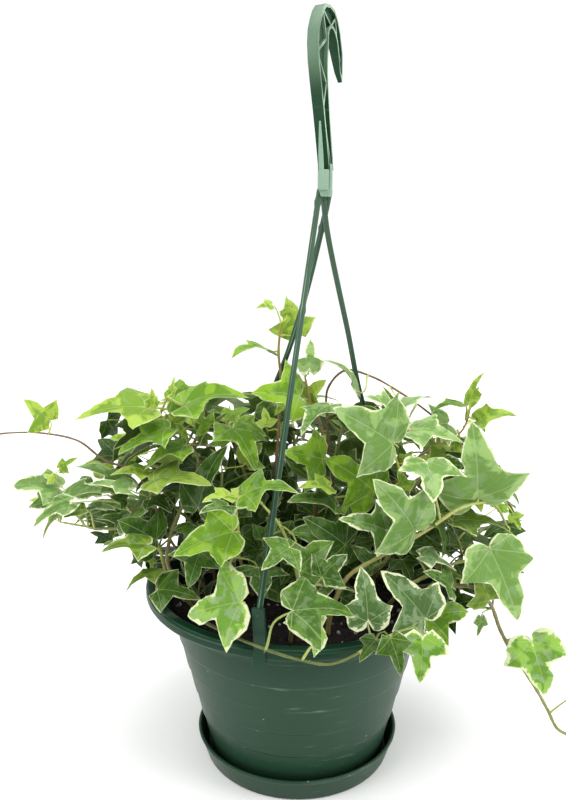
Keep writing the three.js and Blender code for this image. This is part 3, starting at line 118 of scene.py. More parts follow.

# The ivy's visible stems and leaves, read one by one. Routes run from the root outwards in
# picture points (column, row, depth), the main one first, and a branch leaves that one at
# its own first point. A leaf is the picture point where its petiole meets the blade, that
# of its apex, its tone, and its tilt, which turns the upper face from the viewer towards
# the sky, in degrees. Then may come its breadth, and its arch, which is how far its middle
# stands above the line to its apex. The minor leaves are left out of the solids. Where a
# stem reaches the ground, it goes on along it through places [x, y].
VINES = [
    {"name": "vine_top_shoot", "root": (-12, 8), "routes": [
        [(276, 470, -6), (279, 420, -14), (281, 368, -20), (278, 346, -20), (281, 323, -20)],
    ], "leaves": [
        ((272, 305, -18), (256, 308, -14), "lime", 40, 0.9),
        ((296, 334, -18), (286, 297, -24), "lime", 0),
        ((268, 351, -18), (231, 359, -8), "green", 72, 1, 0.2),
        ((299, 396, -6), (252, 392, 4), "green", 25, 1.15),
    ], "minors": [
        ((266, 426, -6), (264, 407, -8), "lime", 10),
    ]},
    {"name": "vine_top_right", "root": (8, 14), "routes": [
        [(318, 480, -6), (322, 440, -10), (318, 411, -12), (309, 401, -12), (305, 377, -14)],
    ], "leaves": [
        ((306, 398, -8), (325, 380, -2), "lime", 15),
        ((309, 371, -12), (311, 338, -18), "grey", 10, 0.8),
        ((329, 406, 0), (299, 433, 14), "grey", 60),
    ]},
    {"name": "vine_right_arc", "root": (22, 24), "routes": [
        [(332, 470, -18), (327, 420, -24), (328, 388, -24), (340, 371, -22), (357, 373, -20),
         (378, 379, -16), (405, 396, -10), (428, 412, -6), (452, 434, 0), (462, 446, 4)],
    ], "leaves": [
        ((357, 392, 2), (326, 358, 0), "grey", 74, 0.6, 0.12),
        ((402, 407, -4), (432, 395, -8), "grey", 74),
        ((392, 407, 2), (364, 396, 8), "grey", 60),
        ((447, 424, -4), (411, 428, 6), "grey", 30),
        ((414, 431, 4), (464, 443, 12), "grey", 58),
    ], "minors": [
        ((390, 405, -6), (383, 385, -10), "olive", 55),
    ]},
    {"name": "vine_right_tip", "root": (34, 12), "routes": [
        [(392, 490, -6), (412, 462, -8), (426, 452, -8), (444, 443, -8), (457, 435, -8),
         (468, 424, -8), (473, 415, -8), (471, 406, -8)],
    ], "leaves": [
        ((470, 404, -6), (484, 371, -12), "lime", 48, 0.6),
        ((476, 420, -5), (517, 414, 6), "lime", 45, 0.8),
        ((462, 404, -8), (430, 411, -4), "green", 74),
    ]},
    {"name": "vine_right_main", "root": (14, -46), "routes": [
        [(345, 580, 50), (372, 561, 46), (400, 546, 42), (418, 534, 40), (446, 520, 36),
         (459, 507, 32), (478, 504, 22), (497, 506, 16), (507, 526, 14)],
    ], "leaves": [
        ((478, 499, 28), (473, 423, 38), "grey", 12, 0.95),
        ((415, 530, 46), (373, 479, 54), "grey", 22),
        ((427, 462, 20), (433, 503, 38), "grey", 20, 1.2),
        ((452, 521, 20), (512, 530, 18), "olive", 64, 0.75),
        ((449, 512, 28), (412, 521, 40), "deep", 50),
        ((386, 531, 44), (340, 518, 52), "grey", 30, 0.9),
    ]},
    {"name": "vine_right_low", "root": (44, -30), "routes": [
        [(405, 588, 48), (440, 570, 40), (470, 560, 32), (488, 566, 26), (492, 582, 22)],
    ], "leaves": [
        ((490, 549, 38), (518, 621, 48), "grey", 18, 0.95),
        ((490, 600, 24), (475, 570, 26), "olive", 10, 1.2),
        ((440, 572, 32), (470, 585, 30), "olive", 64),
        ((421, 556, 43), (457, 570, 45), "slate", 62),
        ((410, 546, 34), (456, 557, 32), "deep", 64),
        ((452, 588, 38), (424, 571, 44), "shade", 50),
    ]},
    {"name": "vine_right_trail", "root": (54, -6),
     "ground": [(160, 0), (178, 8), (198, 10), (216, 4)], "routes": [
        [(440, 586, 22), (468, 585, 20), (489, 602, 16), (504, 640, 13), (512, 652, 12),
         (541, 697, 8), (562, 733, 4)],
    ], "leaves": [
        ((531, 641, 22), (547, 696, 28), "cream", 12, 1.1),
        ((580, 700, 8), (601, 735, 22), "green", 30),
        ((622, 735, 18), (648, 752, 34), "green", 60),
        ((640, 700, -16), (668, 690, -30), "green", 60),
        ((690, 722, 0), (716, 714, -2), "lime", 60),
    ], "minors": [
        ((481, 617, 18), (477, 638, 20), "grey", 20, 0.6),
    ]},
    {"name": "vine_front_runner", "root": (-46, -35), "routes": [
        [(188, 612, 52), (212, 626, 65), (235, 637, 77), (262, 648, 86), (285, 656, 85),
         (310, 662, 84), (333, 664, 83), (352, 656, 82), (375, 645, 78), (400, 632, 68),
         (424, 634, 60), (440, 631, 52), (450, 622, 46)],
    ], "leaves": [
        ((241, 602, 72), (187, 616, 62), "cream", 18, 1.1),
        ((322, 627, 100), (284, 622, 106), "cream", 24, 1.2),
        ((292, 612, 80), (357, 612, 74), "shade", 44, 1.15),
        ((368, 622, 78), (362, 566, 66), "slate", 14, 0.95),
        ((425, 619, 62), (383, 571, 60), "slate", 18, 1.05),
        ((427, 616, 54), (469, 611, 50), "green", 20, 1.2),
        ((423, 636, 68), (420, 684, 76), "cream", 8),
        ((390, 638, 70), (402, 677, 76), "deep", 20, 0.8),
    ], "minors": [
        ((376, 640, 76), (359, 662, 84), "deep", 20, 0.9),
    ]},
    {"name": "vine_left_low", "root": (-51, -29), "routes": [
        [(166, 574, 34), (162, 553, 30), (150, 535, 26), (131, 510, 20), (125, 505, 18)],
        [(141, 523, 23), (115, 529, 14), (88, 527, 10), (73, 524, 8), (60, 522, 6)],
        [(131, 510, 20), (143, 505, 20), (152, 495, 18), (153, 486, 16)],
    ], "leaves": [
        ((59, 489, 4), (12, 486, 10), "grey", 50, 1.1),
        ((65, 497, 8), (112, 491, 12), "grey", 60),
        ((72, 503, 12), (32, 525, 20), "grey", 60),
        ((80, 510, 12), (41, 538, 18), "olive", 76, 1, 0.16),
        ((88, 507, 10), (116, 511, 16), "grey", 60),
        ((126, 487, 12), (76, 464, 10), "grey", 63),
        ((150, 473, 14), (110, 474, 20), "lime", 70),
        ((60, 469, 2), (78, 457, 2), "lime", 30, 0.7),
        ((153, 480, 20), (212, 483, 24), "olive", 64),
        ((130, 490, 14), (88, 483, 14), "grey", 65),
        ((156, 540, 34), (118, 520, 40), "deep", 12, 1.25),
        ((148, 545, 38), (101, 551, 44), "olive", 62),
        ((160, 571, 36), (125, 592, 44), "olive", 74, 1, 0.12),
    ], "minors": [
        ((54, 480, 2), (42, 474, 2), "lime", 20),
        ((126, 500, 20), (110, 497, 24), "deep", 20, 1.2),
        ((150, 500, 24), (172, 512, 30), "deep", 55, 1.2),
    ]},
    {"name": "vine_upper_left", "root": (-49, -28), "routes": [
        [(170, 572, 26), (168, 548, 20), (178, 515, 12), (194, 485, 6), (200, 465, 4),
         (191, 447, 2), (179, 438, 0), (163, 437, 0), (157, 429, 0), (165, 414, 0),
         (167, 398, 0)],
        [(191, 447, 2), (192, 440, 2), (199, 432, 2), (208, 428, 2), (228, 426, 0)],
    ], "leaves": [
        ((150, 408, 6), (74, 418, 12), "lime", 60, 0.95),
        ((166, 429, 4), (118, 455, 14), "green", 60),
        ((184, 446, 10), (143, 468, 18), "green", 60),
        ((172, 401, -4), (219, 391, -8), "green", 50),
        ((183, 405, 4), (248, 394, 8), "green", 62),
        ((168, 417, 6), (190, 445, 12), "lime", 45),
        ((199, 468, 10), (162, 475, 18), "deep", 55, 1.2),
        ((232, 428, 6), (256, 470, 22), "green", 50, 1.2),
        ((236, 425, -4), (267, 436, 4), "green", 45, 1.1),
        ((226, 420, -8), (250, 408, -14), "green", 45),
    ], "minors": [
        ((150, 407, 0), (152, 388, -2), "lime", 40),
        ((209, 426, 4), (192, 414, 6), "green", 10, 1.2),
    ]},
    {"name": "vine_left_runner", "root": (-44, -18), "routes": [
        [(164, 530, 10), (150, 492, 10), (138, 476, 10), (127, 467, 10), (110, 464, 10),
         (93, 450, 10), (76, 440, 10), (40, 433, 8), (0, 434, 6), (-34, 442, 4), (-62, 458, 2)],
    ], "leaves": [
        ((50, 421, 10), (23, 399, 14), "lime", 5),
        ((-12, 420, 6), (-34, 408, 10), "lime", 20),
        ((-46, 434, 4), (-74, 424, 8), "lime", 30),
        ((-62, 468, 4), (-84, 486, 8), "lime", 40),
    ]},
    {"name": "vine_centre_left", "root": (-24, -8), "routes": [
        [(240, 560, 22), (238, 530, 18), (228, 505, 12), (218, 490, 8), (222, 470, 4)],
    ], "leaves": [
        ((199, 508, 22), (224, 444, 14), "shade", 45),
        ((222, 491, 16), (232, 445, 10), "shade", -50),
    ], "minors": [
        ((246, 464, 14), (262, 442, 10), "lime", 20, 1.1),
    ]},
    {"name": "vine_front_left", "root": (-34, -42), "routes": [
        [(226, 578, 50), (234, 552, 44), (240, 530, 36), (236, 508, 32)],
    ], "leaves": [
        ((233, 532, 56), (173, 557, 58), "green", 34, 1.05),
        ((231, 496, 36), (202, 502, 44), "lime", 60),
        ((229, 506, 34), (199, 514, 44), "shade", 60),
        ((200, 552, 50), (188, 588, 62), "shade", 12, 1.2),
        ((258, 568, 46), (262, 598, 62), "shade", 15, 1.5),
    ], "minors": [
        ((232, 546, 38), (204, 562, 46), "deep", 25),
    ]},
    {"name": "vine_centre_front", "root": (-4, -52), "routes": [
        [(300, 598, 54), (297, 575, 50), (288, 545, 46), (276, 518, 42), (262, 504, 40)],
    ], "leaves": [
        ((244, 495, 44), (299, 491, 46), "green", 55, 1, 0.14),
        ((298, 569, 60), (334, 541, 56), "shade", 20, 1.2),
        ((322, 577, 68), (347, 553, 62), "shade", 22, 1.2),
        ((322, 590, 76), (357, 592, 80), "shade", 74),
        ((290, 548, 54), (261, 570, 64), "shade", 25, 1.1),
    ], "minors": [
        ((262, 540, 40), (280, 518, 34), "deep", 20),
    ]},
    {"name": "vine_centre", "root": (6, -22), "routes": [
        [(334, 560, 22), (330, 520, 16), (329, 492, 12), (324, 472, 8), (322, 450, 4)],
    ], "leaves": [
        ((345, 545, 50), (303, 517, 54), "deep", 16, 1.15),
        ((330, 487, 26), (298, 487, 32), "lime", 58),
        ((322, 459, 12), (283, 452, 18), "green", 15, 1.2),
        ((336, 506, 32), (288, 499, 40), "shade", 64),
        ((374, 491, 28), (325, 457, 24), "green", 22, 1.1),
        ((340, 545, 36), (290, 530, 40), "shade", 35, 1.2),
    ], "minors": [
        ((323, 476, 8), (304, 492, 18), "green", 20),
    ]},
    {"name": "vine_centre_right", "root": (26, -14), "routes": [
        [(386, 560, 20), (402, 522, 14), (404, 492, 10), (399, 470, 6), (394, 452, 4)],
    ], "leaves": [
        ((393, 443, 22), (334, 408, 28), "grey", 12, 1.05),
        ((374, 566, 52), (352, 546, 56), "shade", 12),
    ], "minors": [
        ((400, 505, 18), (384, 482, 12), "olive", 15),
        ((405, 490, 18), (398, 470, 14), "lime", 20),
        ((404, 462, 6), (413, 451, 4), "lime", 20),
        ((402, 560, 30), (412, 583, 40), "deep", 20, 1.2),
    ]},
]

# Vines that follow a rule fill the back: each rises from the soil, arches over and
# droops outside the rim. Azimuth 0 is the front, and reach is from the axis.
RULE_TIERS = [
    {"root": 36, "reach": 124, "peak": 164, "end": 136, "leaves": 7},
    {"root": 24, "reach": 92, "peak": 180, "end": 162, "leaves": 6},
    {"root": 48, "reach": 108, "peak": 128, "end": 106, "leaves": 5},
]
RULE_VINES = 13
RULE_FROM = 76
RULE_TO = 272
# How far each of these, the azimuth in degrees and the swing in radians may stray.
RULE_STRAY = {"root": 5, "reach": 12, "peak": 8, "end": 10}
RULE_TURN = 7
RULE_SWING = 0.25
# The first leaf's place along its stem, the way to the last one, and the leaves' sizes.
RULE_PLACES = (0.4, 0.58)
RULE_SIZE = (29, 37)
LAST_SIZE = (17, 21)
# Vines at the sides reach out less, by a share.
SIDE_SAVING = 0.17
VINE_TRIES = 40
LEAF_TRIES = 40

# The foliage as it is seen from the front, in picture points [column, row]. Vines that
# follow the rule stay behind it.
SILHOUETTE = np.array([
    [18, 502], [40, 484], [96, 456], [100, 414], [130, 398], [180, 382], [240, 400],
    [275, 384], [330, 398], [372, 396], [405, 410], [440, 424], [470, 418], [500, 426],
    [506, 468], [524, 500], [534, 556], [514, 612], [486, 600], [455, 640], [150, 640],
    [140, 566], [60, 522],
], dtype=float)

# A blade's outline on one side of its midrib, for a midrib of 1, as in its solid.
BASAL_TIP = (0.3, -0.13)
LOWER_BAY = (0.43, 0.03)
SIDE_TIP = (0.57, 0.28)
UPPER_BAY = (0.27, 0.41)
SHOULDER = (0.2, 0.64)
BLADE_MIDDLE = 0.34
FULL_BLADE = 34
PLAIN_BLADE = 26
BLADE_ARCH = 0.07
BLADE_FOLD = 0.27
BLADE_CURL = 0.34

# How far apart samples of a blade and of a stem or petiole may lie, how far each of them
# reaches, and what is left free between two vines and between the blades of one.
BLADE_SAMPLE = 2.2
LINE_SAMPLE = 1.5
BLADE_REACH = 1.5
LINE_REACH = 0.75
SPARE = 0.3
OWN_SPARE = 1.8
CELL = 5
# The steps by which a leaf moves along the line of sight, and its foot along its stem, of
# which the first points are in the soil.
SIGHT_STEPS = [0, 3, -3, 6, -6, 10, -10, 14, -14, 19, -19, 25, -25]
FOOT_STEPS = [0, -4, 4, -8, 8, -13]
FIRST_FOOT = 8
FINE_STEPS = 7
SHORTEST_PETIOLE = 4
PETIOLE_STEPS = 8
NEIGHBOURS = list(itertools.product((-1, 0, 1), repeat=3))
# The hanger takes up room as no vine does.
HANGER_OWNER = -1
STRAND_STEPS = 300
STRAND_SAMPLES = 120
CLIP_ROOM = 2.6


class Draw:
    """A repeatable draw between 0 and 1."""

    def __init__(self, seed):
        self.state = seed

    def __call__(self):
        self.state = (self.state * 48271) % 2147483647
        return self.state / 2147483647

    def spread(self, low, high):
        return low + (high - low) * self()

    def vector(self):
        x = self.spread(-1, 1)
        y = self.spread(-1, 1)
        return np.array([x, y, self.spread(-1, 1)])


def spot(point):
    """A picture point [column, row, depth] as a point in space."""
    column, row, depth = point
    across = column - VIEW_MIDDLE[0]
    above = VIEW_MIDDLE[1] - row
    ahead = VIEW_FOCAL * VIEW_COS + above * VIEW_SIN
    rise = above * VIEW_COS - VIEW_FOCAL * VIEW_SIN
    reach = (-depth - EYE[1]) / ahead
    return np.array([EYE[0] + across * reach, -depth, EYE[2] + rise * reach])


def length_of(vector):
    return math.sqrt(float(vector @ vector))


def unit(vector):
    return vector / (length_of(vector) or 1.0)


def radial(azimuth, radius, z):
    """A point at an azimuth from the front, in radians, round the pot's axis."""
    return np.array([radius * math.sin(azimuth), -radius * math.cos(azimuth), z])


def pot_inner_radius(z):
    low = (45.2, INNER_FLOOR_Z)
    middle = (LOWEST_RING_RADIUS - RING_LEDGE - WALL, LOWEST_RING_Z)
    high = (NECK_RADIUS - RING_LEDGE - WALL, NECK_Z)
    brim = (MOUTH_RADIUS - 2, 94.0)
    if z < middle[1]:
        start, stop = low, middle
    elif z < high[1]:
        start, stop = middle, high
    else:
        start, stop = high, brim
    return start[0] + ((stop[0] - start[0]) * (z - start[1])) / (stop[1] - start[1])


def soil_top(radius):
    share = np.minimum(radius / pot_inner_radius(SOIL_EDGE_Z), 1.0)
    return SOIL_CROWN_Z - (SOIL_CROWN_Z - SOIL_EDGE_Z) * share * share


def catmull(points, at):
    """A point on the centripetal curve through the points, for at from 0 to 1."""
    last = len(points) - 1
    place = last * at
    index = int(math.floor(place))
    share = place - index
    if share == 0 and index == last:
        index, share = last - 1, 1.0
    before = points[index - 1] if index > 0 else 2 * points[0] - points[1]
    start, stop = points[index], points[index + 1]
    after = points[index + 2] if index + 2 <= last else 2 * points[last] - points[last - 1]
    first = float((before - start) @ (before - start)) ** 0.25
    second = float((start - stop) @ (start - stop)) ** 0.25
    third = float((stop - after) @ (stop - after)) ** 0.25
    second = 1.0 if second < 1e-4 else second
    first = second if first < 1e-4 else first
    third = second if third < 1e-4 else third
    rise = (start - before) / first - (stop - before) / (first + second) + (stop - start) / second
    fall = (stop - start) / second - (after - start) / (second + third) + (after - stop) / third
    rise, fall = rise * second, fall * second
    bend = -3 * start + 3 * stop - 2 * rise - fall
    twist = 2 * start - 2 * stop + rise + fall
    return start + rise * share + bend * share**2 + twist * share**3


def broken_length(points):
    return sum(length_of(b - a) for a, b in zip(points, points[1:]))


def evenly(points, count):
    """Points at equal distances along a broken line."""
    length = broken_length(points)
    even, passed, start = [], 0.0, 0
    for i in range(count):
        target = length * i / count
        while passed + length_of(points[start + 1] - points[start]) < target:
            passed += length_of(points[start + 1] - points[start])
            start += 1
        share = (target - passed) / length_of(points[start + 1] - points[start])
        even.append(points[start] + (points[start + 1] - points[start]) * share)
    return even + [points[-1]]


def course(points):
    """A stem's course: its stations, and points about two millimetres apart along them."""
    dense = []
    for i in range(len(points) - 1):
        count = max(1, math.ceil(length_of(points[i + 1] - points[i]) / 2))
        dense += [catmull(points, (i + j / count) / (len(points) - 1)) for j in range(count)]
    dense.append(points[-1])
    stations = evenly(dense, max(2, math.ceil(broken_length(dense) / STEM_STEP)))
    fine = []
    for start, stop in zip(stations, stations[1:]):
        fine += [start + (stop - start) * (j / FINE_STEPS) for j in range(FINE_STEPS)]
    return {"stations": stations, "fine": np.array(fine + [stations[-1]])}


def rooted(root, onward):
    """A stem starts upright in its hole in the soil."""
    x, y = root
    top = soil_top(math.hypot(x, y))
    return [np.array([x, y, top + rise]) for rise in (-ROOT_DEPTH, -4, 3)] + onward


class Samples:
    """Points along a line or over a blade, each with the room that it needs."""

    def __init__(self, at, radius, reach, blade):
        self.at = np.array(at)
        self.radius, self.reach, self.blade = radius, reach, blade


def line_samples(points, radius):
    at = []
    for start, stop in zip(points, points[1:]):
        count = max(1, math.ceil(length_of(stop - start) / LINE_SAMPLE))
        at += [start + (stop - start) * (j / count) for j in range(count)]
    return Samples(at + [points[-1]], radius, LINE_REACH, False)


class Room:
    """What is taken up so far, in a grid of cells."""

    def __init__(self):
        self.cells = {}
        self.rows = []
        self.table = np.empty((0, 8))
        self.closer = 1.0

    def take(self, samples, vine, leaf):
        keys = np.floor(samples.at / CELL).astype(int)
        for key, at in zip(map(tuple, keys), samples.at):
            self.cells.setdefault(key, []).append(len(self.rows))
            self.rows.append((*at, samples.radius, samples.reach, vine, leaf, samples.blade))

    def near(self, samples):
        """The rows in the cells round the samples, one line of numbers each."""
        if len(self.table) != len(self.rows):
            self.table = np.array(self.rows)
        cells = set(map(tuple, np.floor(samples.at / CELL).astype(int)))
        around = {(i + a, j + b, k + c) for i, j, k in cells for a, b, c in NEIGHBOURS}
        picked = [row for key in around for row in self.cells.get(key, ())]
        return self.table[picked] if picked else None

    def crowded(self, samples, vine, leaf, strict):
        """Whether any sample meets another vine, the hanger, or a blade of its own vine."""
        rows = self.near(samples)
        if rows is None:
            return False
        own = rows[:, 5] == vine
        blades = rows[:, 7] > 0
        counted = blades | strict if samples.blade else blades & strict
        rows = rows[~own | (counted & (rows[:, 6] != leaf))]
        if not len(rows):
            return False
        apart = np.hypot(samples.reach + rows[:, 4], samples.radius + rows[:, 3] + SPARE)
        apart = np.where(rows[:, 5] == vine, OWN_SPARE, apart) * self.closer
        gaps = samples.at[:, None, :] - rows[None, :, :3]
        return bool(np.any(np.einsum("ijk,ijk->ij", gaps, gaps) < apart * apart))


def buried(samples):
    """Which samples are inside the pot's wall, the soil, the saucer or the ground."""
    x, y, z = samples.at.T
    r = samples.radius
    out = np.hypot(x, y)
    outer = LOWEST_RING_RADIUS + ((z - LOWEST_RING_Z) * RING_STEP) / RING_PITCH + 4
    foot = np.where(z < SAUCER_LIP_Z + 2, SAUCER_LIP_RADIUS + 1, 0)
    side = out < np.maximum(outer, foot) + r
    lip = out < RIM_RADIUS + r + 0.6
    in_mouth = (z > SOIL_EDGE_Z) & (out < MOUTH_RADIUS - 4 - r)
    low = np.where(z > RIM_TOP - LIP_HEIGHT - 4, lip, side)
    low = np.where(in_mouth, z < soil_top(out) + r + 0.6, low)
    return (z < r + GAP) | ((z <= RIM_TOP + r + 0.5) & low)


def seen(points):
    """The columns and rows at which points are seen in the picture."""
    x, y, z = (np.atleast_2d(points) - EYE).T
    ahead = VIEW_COS * y - VIEW_SIN * z
    column = VIEW_MIDDLE[0] + VIEW_FOCAL * x / ahead
    return column, VIEW_MIDDLE[1] - VIEW_FOCAL * (VIEW_SIN * y + VIEW_COS * z) / ahead


def behind(points):
    """Whether all the points are seen inside the foliage's outline."""
    for column, row in zip(*seen(points)):
        inside = False
        for (x, y), (u, v) in zip(SILHOUETTE, np.roll(SILHOUETTE, -1, axis=0)):
            if (y > row) != (v > row) and column < x + (u - x) * (row - y) / (v - y):
                inside = not inside
        if not inside:
            return False
    return True


def nearest(points, target):
    gaps = points - target
    return int(np.argmin(np.einsum("ij,ij->i", gaps, gaps)))


def blade_frame(at, tip, face, **more):
    """A blade's own axes: along its midrib, across it, and out of its upper face."""
    along = tip - at
    length = length_of(along)
    along = along / length
    normal = unit(face - along * float(face @ along))
    across = np.cross(along, normal)
    return {"at": at, "length": length, "along": along, "normal": normal, "across": across, **more}


def faced_blade(at, tip, tilt, **more):
    """A blade that faces the viewer, turned towards the sky by a tilt in degrees."""
    flat = blade_frame(at, tip, EYE - at)
    side = np.cross(flat["along"], flat["normal"])
    skyward = np.sign(side[0]) if abs(side[2]) < 0.15 else np.sign(side[2])
    angle = math.radians(tilt) * skyward
    face = flat["normal"] * math.cos(angle) + side * math.sin(angle)
    return blade_frame(at, tip, face, **more)


def blade_point(leaf, out, along, rise):
    """Points of a blade, from its own coordinates and the height over them."""
    size = leaf["length"]
    across = np.multiply.outer(np.asarray(out) * leaf["wide"] * size, leaf["across"])
    return (leaf["at"] + np.multiply.outer(np.asarray(along) * size, leaf["along"])
            + across + np.multiply.outer(np.asarray(rise), leaf["normal"]))


def blade_rise(leaf, out, along):
    arch = leaf["arch"] * 4 * along * (1 - along)
    return (arch + BLADE_FOLD * np.abs(out) - BLADE_CURL * out * out) * leaf["length"]


def blade_samples(leaf):
    notch = (PETIOLE_HALF / (leaf["length"] * leaf["wide"]), 0.0)
    half = [notch, BASAL_TIP, LOWER_BAY, SIDE_TIP, UPPER_BAY, SHOULDER]
    if leaf["length"] < FULL_BLADE:
        half.remove(SHOULDER)
    if leaf["length"] < PLAIN_BLADE:
        half.remove(LOWER_BAY)
    outline = half + [(0.0, 1.0)] + [(-out, along) for out, along in reversed(half)]
    places = []
    for start, stop in zip(outline, outline[1:] + outline[:1]):
        edge = math.hypot(stop[0] - start[0], stop[1] - start[1])
        spoke = math.hypot(start[0], start[1] - BLADE_MIDDLE)
        count = max(1, math.ceil(max(edge, spoke) * leaf["length"] / BLADE_SAMPLE))
        for j in range(count + 1):
            for k in range(max(j, 1)):
                share, turn = j / count, k / j if j else 0.0
                rim = [a + (b - a) * turn for a, b in zip(start, stop)]
                places.append((rim[0] * share, BLADE_MIDDLE + (rim[1] - BLADE_MIDDLE) * share))
    out, along = np.array(places).T
    at = blade_point(leaf, out, along, blade_rise(leaf, out, along))
    return Samples(at, BLADE_HALF, BLADE_REACH, True)


def petiole_course(leaf, root):
    """A petiole leaves its blade backwards, and bends to its place on the stem."""
    to_root = root - leaf["at"]
    distance = length_of(to_root)
    under = np.sign(float(to_root @ leaf["normal"])) or -1
    lead = min(max(distance * 0.3, 3), 14)
    bend = leaf["at"] - leaf["along"] * lead + leaf["normal"] * (under * lead * 0.5)
    foot = root - to_root * 0.3
    foot[2] += min(distance * 0.12, 4)
    points = []
    for i in range(PETIOLE_STEPS + 1):
        t, u = i / PETIOLE_STEPS, 1 - i / PETIOLE_STEPS
        points.append(leaf["at"] * u**3 + bend * (3 * u * u * t)
                      + foot * (3 * u * t * t) + root * t**3)
    return points


def clear(room, samples, vine, index, strict):
    return not (buried(samples).any() or room.crowded(samples, vine, index, strict))


def seat(room, leaf, feet, vine, index, strict):
    """Seats a leaf where its blade is clear: its petiole takes the first free foot."""
    blade = blade_samples(leaf)
    if not clear(room, blade, vine, index, strict):
        return None
    for foot in feet:
        if length_of(foot - leaf["at"]) < SHORTEST_PETIOLE:
            continue
        petiole = petiole_course(leaf, foot)
        line = line_samples(petiole, PETIOLE_HALF * 1.2)
        if clear(room, line, vine, index, strict):
            room.take(blade, vine, index)
            room.take(line, vine, index)
            return {**leaf, "petiole": petiole}
    return None


def seat_read(room, stems, vine, index, at, tip, tone, tilt, wide=1, arch=BLADE_ARCH):
    """A leaf that was read moves along the line of sight until it is clear."""
    joined = np.concatenate([stem["fine"] for stem in stems])
    for strict, step in itertools.product((True, False), SIGHT_STEPS):
        notch, apex = (spot([*end[:2], end[2] + step]) for end in (at, tip))
        leaf = faced_blade(notch, apex, tilt, wide=wide, arch=arch, tone=tone)
        middle = nearest(joined, notch)
        feet = np.clip([middle + move for move in FOOT_STEPS], FIRST_FOOT, len(joined) - 1)
        seated = seat(room, leaf, joined[feet], vine, index, strict)
        if seated:
            return seated
    return None


def inside_outline(leaf, *corners):
    """Whether a blade's apex and its corners on both sides are seen inside the outline."""
    both = [(0, 1), *((side * x, y) for side in (1, -1) for x, y in corners)]
    out, along = np.array(both).T
    return behind(blade_point(leaf, out, along, blade_rise(leaf, out, along)))


def seat_by_rule(room, draw, stem, share, side, size, vine, index):
    """A leaf by rule stands off the stem on alternate sides and looks out and up."""
    for _ in range(LEAF_TRIES):
        place = int(math.floor((len(stem) - 1) * share + 0.5))
        foot = stem[place]
        heading = unit(stem[min(place + 1, len(stem) - 1)] - stem[place - 1])
        outward = unit(np.array([foot[0], foot[1], 0.0]))
        lateral = unit(np.cross(heading, UP)) * side
        stalk = unit(heading * 0.35 + lateral * 0.8 + UP * 0.45 + draw.vector() * 0.45)
        at = foot + stalk * (draw.spread(0.45, 0.8) * size)
        along = unit(outward * 0.75 + lateral * 0.45 - UP * 0.25 + draw.vector() * 0.5)
        face = UP * 0.75 + outward * 0.6 + draw.vector() * 0.45
        length = size * draw.spread(0.85, 1.15)
        leaf = blade_frame(
            at, at + along * length, face, wide=draw.spread(0.9, 1.2),
            arch=draw.spread(0.04, 0.14), tone="rule",
        )
        seated = inside_outline(leaf, SIDE_TIP) and seat(room, leaf, [foot], vine, index, True)
        if seated:
            return seated
    return None


def grow_rule_vine(room, draw, plants, index):
    """A vine by rule takes the first course that is clear and behind the outline."""
    vine = len(plants)
    tier = RULE_TIERS[index % len(RULE_TIERS)]
    for _ in range(VINE_TRIES):
        turn = RULE_FROM + (RULE_TO - RULE_FROM) * index / (RULE_VINES - 1)
        root_radius, reach, peak, end = (
            tier[key] + draw.spread(-stray, stray) for key, stray in RULE_STRAY.items()
        )
        angle = math.radians(turn + draw.spread(-RULE_TURN, RULE_TURN))
        reach *= 1 - SIDE_SAVING * abs(math.sin(angle))
        swing = draw.spread(-RULE_SWING, RULE_SWING)
        span = reach - root_radius
        root = (root_radius * math.sin(angle), -root_radius * math.cos(angle))
        stem = course(rooted(root, [
            radial(angle, root_radius + span * 0.15, RIM_TOP + (peak - RIM_TOP) * 0.55),
            radial(angle + swing * 0.4, root_radius + span * 0.5, peak),
            radial(angle + swing * 0.8, root_radius + span * 0.8, peak - (peak - end) * 0.25),
            radial(angle + swing, reach, end),
        ]))
        line = line_samples(stem["fine"], STEM_RADIUS)
        if not behind(stem["stations"][3:]) or room.crowded(line, vine, -1, False):
            continue
        if (buried(line) & (line.at[:, 2] > RIM_TOP - 3)).any():
            continue
        room.take(line, vine, -1)
        name = f"vine_back_{vine - len(VINES) + 1}"
        plants.append({"name": name, "count": tier["leaves"], "stems": [stem]})
        return


def strand_points(strand):
    """The course of a strand from its socket in the boss to its clip on the rim."""
    dx, dy = strand["top"]
    start = BOSS_CENTRE + np.array([dx, dy, -BOSS_HEIGHT / 2 + 3])
    end = radial(math.radians(strand["azimuth"]), RIM_RADIUS + 1.8, CLIP_TOP_Z - 4)
    points = [start, *map(spot, strand["course"]), end]
    return [catmull(points, i / STRAND_STEPS) for i in range(STRAND_STEPS + 1)]


STRANDS = [
    {"name": "hanger_strand_front", "top": (-2.6, -3.6), "course": [], "azimuth": -13},
    {"name": "hanger_strand_right", "top": (-1, 0.6),
     "course": [[327, 230, 3], [347.2, 328.5, -8], [364, 406.6, -20]], "azimuth": 125},
    {"name": "hanger_strand_left", "top": (2.6, 4),
     "course": [[324, 219, 0], [301.3, 310, -12], [276.8, 380.6, -30]], "azimuth": -143},
]


